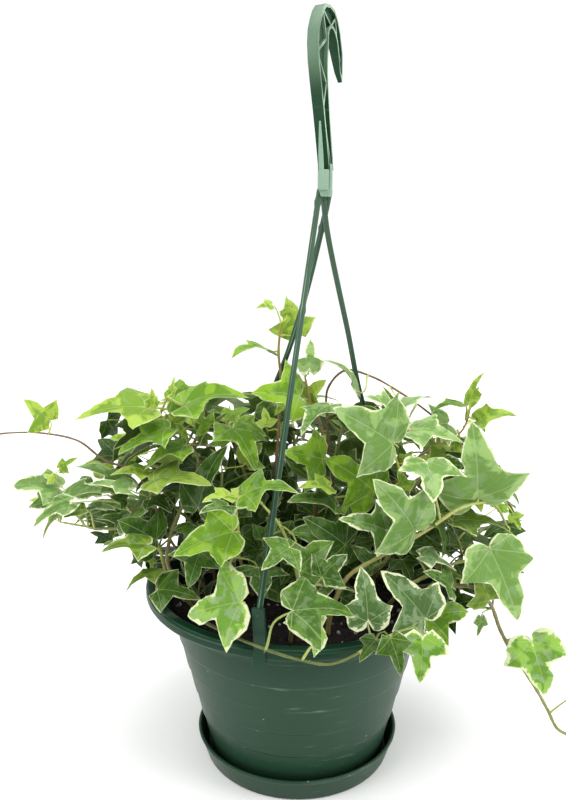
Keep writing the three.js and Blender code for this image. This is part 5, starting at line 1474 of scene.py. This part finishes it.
def ivy_blade(tree, settings):
    """A living ivy blade: a leathery leaf under a waxy skin.

    The skin gives a soft, broad gloss. Green is deepest in patches round the middle, the
    veins are a little paler, and the edge has lost its green in a thin ragged cream band.
    A blade lets some light through, and is paler and duller underneath.
    """
    green = add(tree, "Attribute", {}, "Color", attribute_name="tint")
    blade = add(tree, "Attribute", {}, "Vector", attribute_name="blade")
    edge = add(tree, "Attribute", {}, "Fac", attribute_name="edge")
    under = add(tree, "Attribute", {}, "Fac", attribute_name="under")
    cream = green.node.outputs["Alpha"]
    axes = add(tree, "SeparateXYZ", [blade]).node.outputs
    out, along = add(tree, "Math", [axes[0]], operation="ABSOLUTE"), axes[1]
    own = add(tree, "VectorMath", (blade, (1, 1, 41)), operation="MULTIPLY")

    # The margin's width wanders along the edge, and its teeth are about a millimetre long.
    ragged = add(
        tree, "TexNoise",
        {"Vector": own, "Scale": 4.6, "Detail": 5, "Roughness": 0.66, "Distortion": 0.6},
    )
    width = add(tree, "MapRange", (ragged, 0.4, 0.74, settings.margin_low, settings.margin_high))
    width = add(tree, "Math", (width, cream), operation="MULTIPLY")
    inside = add(tree, "Math", (edge, width), operation="SUBTRACT")
    margin = add(tree, "MapRange", (inside, 0.2, -0.25, 0, 0.9), **SMOOTH)

    # Veins run from the notch to each lobe, with finer ones off the midrib.
    vein = out
    for leaning, rising in ((0.8976, 0.4409), (0.9701, -0.2425)):
        away = add(tree, "Math", (out, rising), operation="MULTIPLY")
        away = add(tree, "Math", (along, -leaning, away), operation="MULTIPLY_ADD")
        away = add(tree, "Math", [away], operation="ABSOLUTE")
        vein = add(tree, "Math", (vein, away), operation="MINIMUM")
    main_veins = add(tree, "MapRange", (vein, 0.013, 0.002, 0, 0.62), **SMOOTH)
    slant = add(tree, "Math", (out, -0.95, along), operation="MULTIPLY_ADD")
    wander = add(tree, "TexNoise", {"Vector": own, "Scale": 3, "Detail": 2})
    slant = add(tree, "Math", (wander, 0.16, slant), operation="MULTIPLY_ADD")
    apart = add(tree, "Math", (slant, 0.07), operation="PINGPONG")
    fine_veins = add(tree, "MapRange", (apart, 0.01, 0.001, 0, 0.18), **SMOOTH)
    veins = add(tree, "Math", (main_veins, fine_veins), operation="MAXIMUM")

    # Between them the green breaks up into deeper patches with crisp edges, and into grey
    # ones on the more variegated blades.
    patches = add(
        tree, "TexNoise",
        {"Vector": own, "Scale": 2.4, "Detail": 5, "Roughness": 0.6, "Distortion": 1.1},
    )
    depth = add(tree, "Math", (edge, 0.022, patches), operation="MULTIPLY_ADD")
    deeper = add(tree, "MapRange", (depth, 0.5, 0.62, 0, 0.8), **SMOOTH)
    clouds = add(
        tree, "TexNoise", {"Vector": own, "Scale": 5.2, "Detail": 3, "Distortion": 0.8},
    )
    greyer = add(tree, "MapRange", (clouds, 0.53, 0.6, 0, 0.34), **SMOOTH)
    greyer = add(tree, "Math", (greyer, cream), operation="MULTIPLY")
    bleached = add(tree, "MapRange", (cream, 0.3, 1.1, 0.4, 0.9))
    deep = add(
        tree, "Mix", {SHARE: 1, FIRST: green, SECOND: linear("#A6C088", 1)}, MIXED,
        blend_type="MULTIPLY", **COLOURS,
    )
    mottled = add(tree, "Mix", {SHARE: deeper, FIRST: green, SECOND: deep}, MIXED, **COLOURS)
    grey, vein, back = (linear(shade, 1) for shade in ("#93A983", "#C6D79A", "#93A667"))
    mottled = add(tree, "Mix", {SHARE: greyer, FIRST: mottled, SECOND: grey}, MIXED, **COLOURS)
    pale = add(tree, "Mix", {SHARE: 0.5, FIRST: mottled, SECOND: vein}, MIXED, **COLOURS)
    veined = add(tree, "Mix", {SHARE: veins, FIRST: mottled, SECOND: pale}, MIXED, **COLOURS)
    faded = add(
        tree, "Mix", {SHARE: bleached, FIRST: green, SECOND: (*settings.margin, 1)}, MIXED,
        **COLOURS,
    )
    edged = add(tree, "Mix", {SHARE: margin, FIRST: veined, SECOND: faded}, MIXED, **COLOURS)
    below = add(tree, "Mix", {SHARE: 0.4, FIRST: edged, SECOND: back}, MIXED, **COLOURS)
    colour = add(tree, "Mix", {SHARE: under, FIRST: edged, SECOND: below}, MIXED, **COLOURS)

    # The skin is a little uneven between the veins, about a millimetre across.
    coords = add(tree, "TexCoord", {}, "Object")
    skin = add(tree, "TexNoise", {"Vector": coords, "Scale": 700, "Detail": 2})
    height = add(tree, "Math", (veins, -1.1, skin), operation="MULTIPLY_ADD")
    bump = add(tree, "Bump", {"Height": height, "Strength": 0.5, "Distance": 0.0004})
    shader = add(tree, "BsdfPrincipled", {
        "Base Color": colour, "Roughness": add(tree, "MapRange", (patches, 0.3, 0.7, 0.4, 0.56)),
        "IOR": 1.45, "Specular IOR Level": 0.22, "Normal": bump,
    })
    glow = add(
        tree, "Mix", {SHARE: 1, FIRST: colour, SECOND: linear("#F4FF9C", 1)}, MIXED,
        blend_type="MULTIPLY", **COLOURS,
    )
    through = add(tree, "BsdfTranslucent", {"Color": glow, "Normal": bump})
    return add(tree, "MixShader", (settings.glow, shader, through))


def ivy_stem(tree):
    """A young ivy stem or petiole: smooth green bark that turns brown with age.

    It has a dull gloss, with small darker flecks.
    """
    green = add(tree, "Attribute", {}, "Color", attribute_name="tint")
    coords = add(tree, "TexCoord", {}, "Object")
    flecks = add(
        tree, "TexNoise", {"Vector": coords, "Scale": 420, "Detail": 4, "Roughness": 0.6},
    )
    share = add(tree, "MapRange", (flecks, 0.45, 0.75, 0, 0.6))
    dark = add(
        tree, "Mix", {SHARE: 1, FIRST: green, SECOND: linear("#A0937E", 1)}, MIXED,
        blend_type="MULTIPLY", **COLOURS,
    )
    colour = add(tree, "Mix", {SHARE: share, FIRST: green, SECOND: dark}, MIXED, **COLOURS)
    bump = add(tree, "Bump", {"Height": flecks, "Strength": 0.4, "Distance": 0.0003})
    return add(
        tree, "BsdfPrincipled",
        {"Base Color": colour, "Roughness": 0.5, "IOR": 1.45, "Normal": bump},
    )


def moulded_plastic(tree, colour, roughness, scuff, edge_wear_and_highlight, painted_light_heights):
    """Injection-moulded polypropylene: an even colour with a soft gloss.

    Handling leaves it with duller patches, faint pale scuffs and a few specks of soil. Its
    moulded edges are rubbed pale, which also paints their highlights, and the faces marked
    for it are painted paler from one height to another by a share, as painted light.
    """
    coords = add(tree, "TexCoord", {}, "Object")
    cloud = add(
        tree, "TexNoise", {"Vector": coords, "Scale": 26, "Detail": 5, "Roughness": 0.62},
    )
    stretch = add(tree, "Mapping", {"Vector": coords, "Scale": (60, 60, 520)})
    drawn = add(tree, "TexNoise", {"Vector": stretch, "Scale": 1, "Detail": 4})
    marks = add(tree, "MapRange", (drawn, 0.62, 0.8, 0, scuff))
    handled = add(tree, "MapRange", (cloud, 0.45, 0.75, 0, 1))
    marks = add(tree, "Math", (marks, handled), operation="MULTIPLY")
    cells = add(
        tree, "TexVoronoi", {"Vector": coords, "Scale": 95, "Randomness": 1}, "Distance",
    )
    specks = add(tree, "MapRange", (cells, 0.055, 0.03, 0, scuff))
    edge = add(tree, "Attribute", {}, "Fac", attribute_name="edge")
    # Worn edges and ridges are rubbed pale; this also paints their highlights.
    rubbed_and_lit = add(tree, "MapRange", (edge, 0.6, 1, 0, edge_wear_and_highlight))
    uneven = add(tree, "MapRange", (cloud, 0.46, 0.7, 0.5, 2.2))
    rubbed_and_lit = add(tree, "Math", (rubbed_and_lit, uneven), operation="MULTIPLY")
    # Painted light: the marked faces are painted paler from one height to another by a share.
    upright = add(tree, "SeparateXYZ", [coords], "Z")
    low, high, share = painted_light_heights
    painted_paler = add(tree, "MapRange", (upright, low, high, 0, share), **SMOOTH)
    lit_faces = add(tree, "Math", (edge, 0.25), operation="GREATER_THAN")
    painted_paler = add(tree, "Math", (painted_paler, lit_faces), operation="MULTIPLY")
    rubbed_and_lit = add(tree, "Math", (rubbed_and_lit, painted_paler), operation="MAXIMUM")
    plastic = (*colour, 1)
    # The last pale, #A4C4A4, serves the rubbed edges, their painted highlights and the painted
    # light band.
    for share, over in ((marks, "#A9BDB0"), (specks, "#C9D2C8"), (rubbed_and_lit, "#A4C4A4")):
        plastic = add(
            tree, "Mix", {SHARE: share, FIRST: plastic, SECOND: linear(over, 1)}, MIXED,
            **COLOURS,
        )
    gloss = add(tree, "MapRange", (cloud, 0.3, 0.75, roughness, roughness + 0.16))
    height = add(tree, "TexNoise", {"Vector": coords, "Scale": 340, "Detail": 3})
    bump = add(tree, "Bump", {"Height": height, "Strength": 0.12, "Distance": 0.0004})
    return add(tree, "BsdfPrincipled", {
        "Base Color": plastic, "Roughness": gloss, "IOR": 1.49, "Specular IOR Level": 0.15,
        "Normal": bump,
    })


def potting_mix(tree):
    """Moist peat with perlite: black-brown fibres and crumbs, fully matte."""
    tint = add(tree, "Attribute", {}, "Color", attribute_name="tint")
    coords = add(tree, "TexCoord", {}, "Object")
    crumbs = add(
        tree, "TexNoise", {"Vector": coords, "Scale": 520, "Detail": 5, "Roughness": 0.7},
    )
    # The crumbs vary in their own brown, and the noise that raises them in the bump also darkens
    # them where they lie low: painted shade in their hollows.
    shade = add(tree, "MapRange", (crumbs, 0.35, 0.7, 0.3, 0.9))
    grey = add(tree, "CombineColor", (shade, shade, shade))
    colour = add(
        tree, "Mix", {SHARE: 1, FIRST: tint, SECOND: grey}, MIXED,
        blend_type="MULTIPLY", **COLOURS,
    )
    bump = add(tree, "Bump", {"Height": crumbs, "Strength": 0.9, "Distance": 0.0012})
    return add(
        tree, "BsdfPrincipled",
        {"Base Color": colour, "Roughness": 0.93, "IOR": 1.4, "Normal": bump},
    )


def painted_board(tree):
    """A matt white painted board, with the faint unevenness of a rolled coat."""
    coords = add(tree, "TexCoord", {}, "Object")
    coat = add(tree, "TexNoise", {"Vector": coords, "Scale": 40, "Detail": 3})
    bump = add(tree, "Bump", {"Height": coat, "Strength": 0.03, "Distance": 0.0005})
    return add(
        tree, "BsdfPrincipled",
        {"Base Color": (0.95, 0.95, 0.95, 1), "Roughness": 0.85, "IOR": 1.45, "Normal": bump},
    )


# The clip: a tab outside the rim with one finger over the rim and one under its lip.
CLIP_WIDTH = 5.5


def clip_mesh(azimuth):
    inner, outer = RIM_RADIUS + GAP, RIM_RADIUS + 3.2
    under, over = RIM_TOP - LIP_HEIGHT - GAP, RIM_TOP + GAP
    profile = [
        (RIM_RADIUS - 3, under), (RIM_RADIUS - 3, under - 1.4), (outer, under - 1.4),
        (outer, CLIP_TOP_Z), (inner + 0.4, CLIP_TOP_Z), (inner, over + 1.5),
        (RIM_RADIUS - 3.5, over + 1.5), (RIM_RADIUS - 3.5, over), (inner, over), (inner, under),
    ]
    bm = bmesh.new()
    verts = [bm.verts.new((radius, -CLIP_WIDTH / 2, z)) for radius, z in profile]
    face = bmesh.ops.contextual_create(bm, geom=verts)["faces"]
    raised = bmesh.ops.extrude_face_region(bm, geom=face)["geom"]
    raised = [item for item in raised if isinstance(item, bmesh.types.BMVert)]
    bmesh.ops.translate(bm, vec=(0, CLIP_WIDTH, 0), verts=raised)
    bmesh.ops.recalc_face_normals(bm, faces=bm.faces)
    bevelled(bm, bm.edges[:], CLIP_EDGE)
    turn = Matrix.Rotation(math.radians(azimuth - 90), 4, "Z")
    bmesh.ops.transform(bm, matrix=turn, verts=bm.verts)
    return finished(bm, "clip_template")


class Whole:
    """A finished mesh in the role of a template: it goes where it is."""

    def __init__(self, mesh):
        self.mesh = mesh
        self.at = rows_of(mesh)


# Small nubs that the mould left on the strands, as shares of the way from the boss.
NUB_PLACES = {"hanger_strand_front": (0.03, 0.3), "hanger_strand_right": (0.07,),
              "hanger_strand_left": (0.28,)}
NUB_REACH = 0.012
# Each strand is moulded with four low ridges along it.
FLUTE = 0.1
STRAND_RINGS = 140


def make_strand(strand, material):
    """One strand with its nubs and its clip on the rim."""
    radii = []
    for i in range(STRAND_RINGS):
        share = i / (STRAND_RINGS - 1)
        nubs = NUB_PLACES[strand["name"]]
        swell = sum(max(0.0, 1 - abs(share - nub) / NUB_REACH) for nub in nubs)
        radii.append(STRAND_RADIUS * (0.94 + 0.32 * swell))
    tube = TubeTemplate("strand_template", sides=16, rings=STRAND_RINGS, material=0)
    clip = Whole(clip_mesh(strand["azimuth"]))
    # The ridges are rubbed pale, which paints a highlight along each; the whole strand takes the
    # painted light band, but not its clip.
    ridge_highlight = np.cos(4 * tube.angle).clip(0, 1)
    gathered = Gathered()
    at = tube_along(strand_points(strand), radii, tube, FLUTE)
    gathered.add(tube, at, (1, 1, 1, 1), edge=0.5 + 0.5 * ridge_highlight)
    gathered.add(clip, clip.at, (1, 1, 1, 1))
    hold(gathered.build(strand["name"] + "_moulded", [material]), strand["name"])


def soil_profile():
    edge = pot_inner_radius(SOIL_EDGE_Z) - GAP
    levels = (INNER_FLOOR_Z + GAP, LOWEST_RING_Z, NECK_Z)
    profile = [(0, levels[0]), *((pot_inner_radius(z) - GAP, z) for z in levels)]
    return profile + [(edge * (1 - i / 34), soil_top(edge * (1 - i / 34))) for i in range(35)]


SOIL_SEED = 4099
GRAINS = 900
PERLITE_SHARE = 0.13
PEAT = ("#1B1510", "#3A2C20")
PERLITE = ("#8E8B82", "#CFCBC0")


def make_soil():
    """The soil's mound with its crumbs of peat and grains of perlite."""
    draw = Draw(SOIL_SEED)
    mound = Whole(finished(turned(soil_profile(), SOIL_STEPS), "mound_template"))
    at = mound.at.copy()
    for i in np.flatnonzero(at[:, 2] > SOIL_EDGE_Z + 0.05):
        place = Vector(at[i] * 0.16)
        coarse = sum(
            share * noise.noise(place * scale) for share, scale in ((1, 1), (0.6, 2.7), (0.4, 6.1))
        )
        at[i, 2] += coarse * 0.9
    gathered = Gathered()
    gathered.add(mound, at, linear(PEAT[0], 1))
    bm = bmesh.new()
    bmesh.ops.create_icosphere(bm, subdivisions=1, radius=1)
    crumb = Whole(finished(bm, "crumb_template"))
    reach = pot_inner_radius(SOIL_EDGE_Z) - 2
    for _ in range(GRAINS):
        radius, angle = reach * math.sqrt(draw()), draw.spread(0, 2 * math.pi)
        white = draw() < PERLITE_SHARE
        size = draw.spread(0.5, 1.5) if white else draw.spread(0.5, 1.9)
        stretch = np.array([size * draw.spread(0.6, 1.3) for _ in range(3)])
        turn = np.array(Matrix.Rotation(draw.spread(0, 6.3), 3, Vector(draw.vector())))
        centre = radial(angle, radius, soil_top(radius) + size * draw.spread(-0.1, 0.45))
        lump = crumb.at * np.array([[draw.spread(0.8, 1.15)] for _ in crumb.at])
        tint = between(*(PERLITE if white else PEAT), draw())
        gathered.add(crumb, (lump * stretch) @ turn + centre, tint)
    mix = material_of("potting_mix_peat", potting_mix)
    hold(gathered.build("potting_mix", [mix]), "soil")


def make_plant(settings):
    """Every vine with its stems, petioles and leaves, one piece each."""
    room, draw, plants = grow()
    Crown(room, draw, plants).grow(settings.small_leaves)
    draw = Draw(SHAPE_SEED)
    templates = leaf_templates()
    blade = material_of("ivy_blade_waxy_leaf", ivy_blade, settings)
    bark = material_of("ivy_stem_green_bark", ivy_stem)
    for plant in plants:
        gathered = Gathered()
        for i, stem in enumerate(plant["stems"]):
            add_stem(gathered, stem, plant["name"], i > 0, draw)
        for leaf in plant["leaves"]:
            add_leaf(gathered, leaf, templates, draw)
        piece = gathered.build(plant["name"].replace("vine", "ivy"), [blade, bark])
        hold(piece, plant["name"])


# The lamps: where each is and what it points at, its two sides, and its power in watts.
LAMPS = {
    "window_left": ((-0.9, -0.7, 1.1), (0, 0, 0.15), (0.9, 0.9), 9),
    "window_right": ((1.1, -0.5, 0.7), (0, 0, 0.12), (0.6, 1.0), 8),
    "ceiling": ((0.1, 0.1, 1.5), (0, 0, 0.15), (1.2, 1.2), 15),
}


def aimed(name, data, place, way):
    """A lamp or camera at a place that points along a way."""
    thing = bpy.data.objects.new(name, data)
    thing.location = place
    thing.rotation_euler = way.to_track_quat("-Z", "Y").to_euler()
    bpy.context.scene.collection.objects.link(thing)
    return thing


def make_stage():
    """The floor, the soft lights and the camera at the photograph's angle."""
    bm = bmesh.new()
    bmesh.ops.create_grid(bm, x_segments=8, y_segments=8, size=6.0)
    board = material_of("studio_board_white_paint", painted_board)
    placed("studio_floor", finished(bm, "studio_floor"), [board])

    scene = bpy.context.scene
    scene.world = bpy.data.worlds.new("studio_white")
    scene.world.use_nodes = True
    background = scene.world.node_tree.nodes["Background"]
    background.inputs["Color"].default_value = (1, 1, 1, 1)
    background.inputs["Strength"].default_value = 1.05
    for name, (place, aim, sides, power) in LAMPS.items():
        light = bpy.data.lights.new(name, "AREA")
        light.shape = "RECTANGLE"
        light.size, light.size_y = sides
        light.energy = power
        aimed(name, light, place, Vector(aim) - Vector(place))

    lens = bpy.data.cameras.new("camera")
    lens.sensor_fit = "AUTO"
    lens.sensor_width = lens.lens = 36
    lens.clip_start = 0.01
    scene.camera = aimed("camera", lens, EYE * MM, Vector((AIM - EYE) * MM))
    scene.view_settings.view_transform = "Standard"


def colour_setting(name, description, default):
    return FloatVectorProperty(
        name=name, description=description, subtype="COLOR", size=3, default=linear(default),
        min=0, max=1,
    )


class IvySettings(bpy.types.PropertyGroup):
    """The number, colours and margins of the ivy's leaves that a user would change."""

    small_leaves: IntProperty(
        name="Small Leaves", description="How many places are tried for small leaves",
        default=1400, min=0, max=3000,
    )
    margin: colour_setting("Margin Colour", "The cream of a blade's edge", "#EAEBC6")
    margin_low: FloatProperty(
        name="Narrowest Margin", description="The cream edge where it is narrowest, in millimetres",
        default=0.08, min=0, max=4,
    )
    margin_high: FloatProperty(
        name="Widest Margin", description="The cream edge where it is widest, in millimetres",
        default=1.8, min=0, max=6,
    )
    glow: FloatProperty(
        name="Translucence", description="The share of light that passes through a blade",
        subtype="FACTOR", default=0.3, min=0, max=1,
    )


class PotSettings(bpy.types.PropertyGroup):
    """The plastic of the pot, the saucer and the hanger."""

    pot: colour_setting("Pot Colour", "The plastic of the pot and the saucer", "#0A2E1C")
    hanger: colour_setting("Hook Colour", "The plastic of the hook", "#1C3A26")
    boss: colour_setting("Boss Colour", "The plastic of the boss", "#7A9480")
    strand: colour_setting("Strand Colour", "The plastic of the strands and clips", "#1B3828")
    rounding: FloatProperty(
        name="Rounded Edges", description="How far a moulded edge is rounded", subtype="DISTANCE",
        unit="LENGTH", default=0.0004, min=0.0001, max=0.001,
    )


# Each moulding's roughness, how scuffed it is, how pale its worn edges and their painted
# highlights are, and from which height to which it is painted paler by which share. This
# painted light is paler towards the top of the hook and the strands, where light falls, and
# towards the bottom of the pot and the saucer as a painted reflection of the white floor; the
# boss is a little paler low down.
POT_WEAR_AND_LIGHT = (0.3, 0.4, 0.05, (0.095, 0.06, 0.035))
HOOK_WEAR_AND_LIGHT = (0.36, 0.25, 0.5, (0.337, 0.358, 0.24))
BOSS_WEAR_AND_LIGHT = (0.4, 0.25, 0.2, (0.31, 0.29, 0.05))
STRAND_WEAR_AND_LIGHT = (0.3, 0.2, 0.3, (0.16, 0.25, 0.07))


class IVY_OT_pot(bpy.types.Operator):
    """Builds the pot and its saucer"""

    bl_idname = "ivy.pot"
    bl_label = "Pot and Saucer"

    def execute(self, context):
        settings = context.scene.ivy_pot
        plastic = material_of(
            "pot_moulded_polypropylene", moulded_plastic, settings.pot, *POT_WEAR_AND_LIGHT,
        )
        round_by = settings.rounding / MM
        hold(spun(pot_profile(), "hanging_pot", round_by, plastic), "pot")
        hold(spun(saucer_profile(), "drip_saucer", round_by, plastic), "saucer")
        return {"FINISHED"}


class IVY_OT_soil(bpy.types.Operator):
    """Builds the potting mix"""

    bl_idname = "ivy.soil"
    bl_label = "Potting Mix"

    def execute(self, context):
        make_soil()
        return {"FINISHED"}


class IVY_OT_hanger(bpy.types.Operator):
    """Builds the hook, the boss and the three strands"""

    bl_idname = "ivy.hanger"
    bl_label = "Hanger"

    def execute(self, context):
        settings = context.scene.ivy_pot
        hook, boss, strand = (
            material_of(name + "_moulded_polypropylene", moulded_plastic, colour, *wear_and_light)
            for name, colour, wear_and_light in (
                ("hook", settings.hanger, HOOK_WEAR_AND_LIGHT), ("boss", settings.boss, BOSS_WEAR_AND_LIGHT),
                ("strand", settings.strand, STRAND_WEAR_AND_LIGHT),
            )
        )
        ribbed = softened("hanger_hook", "hook", HOOK_EDGE, hook, Vector(HOOK_SIDE), HOOK_WEB)
        hold(ribbed, "hanger_hook")
        hold(softened("hanger_boss", "boss", BOSS_EDGE, boss), "hanger_boss")
        for entry in STRANDS:
            make_strand(entry, strand)
        return {"FINISHED"}


class IVY_OT_plant(bpy.types.Operator):
    """Grows the ivy: every vine with its stems and leaves"""

    bl_idname = "ivy.plant"
    bl_label = "Ivy"

    def execute(self, context):
        make_plant(context.scene.ivy_plant)
        return {"FINISHED"}


class IVY_OT_stage(bpy.types.Operator):
    """Sets the floor, the lights and the camera"""

    bl_idname = "ivy.stage"
    bl_label = "Stage"

    def execute(self, context):
        make_stage()
        return {"FINISHED"}


class IVY_PT_panel(bpy.types.Panel):
    """The potted ivy's pieces and what a user would change"""

    bl_idname = "IVY_PT_panel"
    bl_label = "Potted Ivy"
    bl_space_type = "VIEW_3D"
    bl_region_type = "UI"
    bl_category = "Ivy"

    def draw(self, context):
        for operator in OPERATORS:
            self.layout.operator(operator.bl_idname)
        for settings in (context.scene.ivy_plant, context.scene.ivy_pot):
            for name in settings.__annotations__:
                self.layout.prop(settings, name)


OPERATORS = (IVY_OT_pot, IVY_OT_soil, IVY_OT_hanger, IVY_OT_plant, IVY_OT_stage)
CLASSES = (IvySettings, PotSettings, *OPERATORS, IVY_PT_panel)


def register():
    for cls in CLASSES:
        bpy.utils.register_class(cls)
    bpy.types.Scene.ivy_plant = PointerProperty(type=IvySettings)
    bpy.types.Scene.ivy_pot = PointerProperty(type=PotSettings)


def unregister():
    del bpy.types.Scene.ivy_pot
    del bpy.types.Scene.ivy_plant
    for cls in reversed(CLASSES):
        bpy.utils.unregister_class(cls)


def main():
    register()
    bpy.ops.ivy.pot()
    bpy.ops.ivy.soil()
    bpy.ops.ivy.hanger()
    bpy.ops.ivy.plant()
    bpy.ops.ivy.stage()
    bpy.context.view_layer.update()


if __name__ == "__main__":
    main()
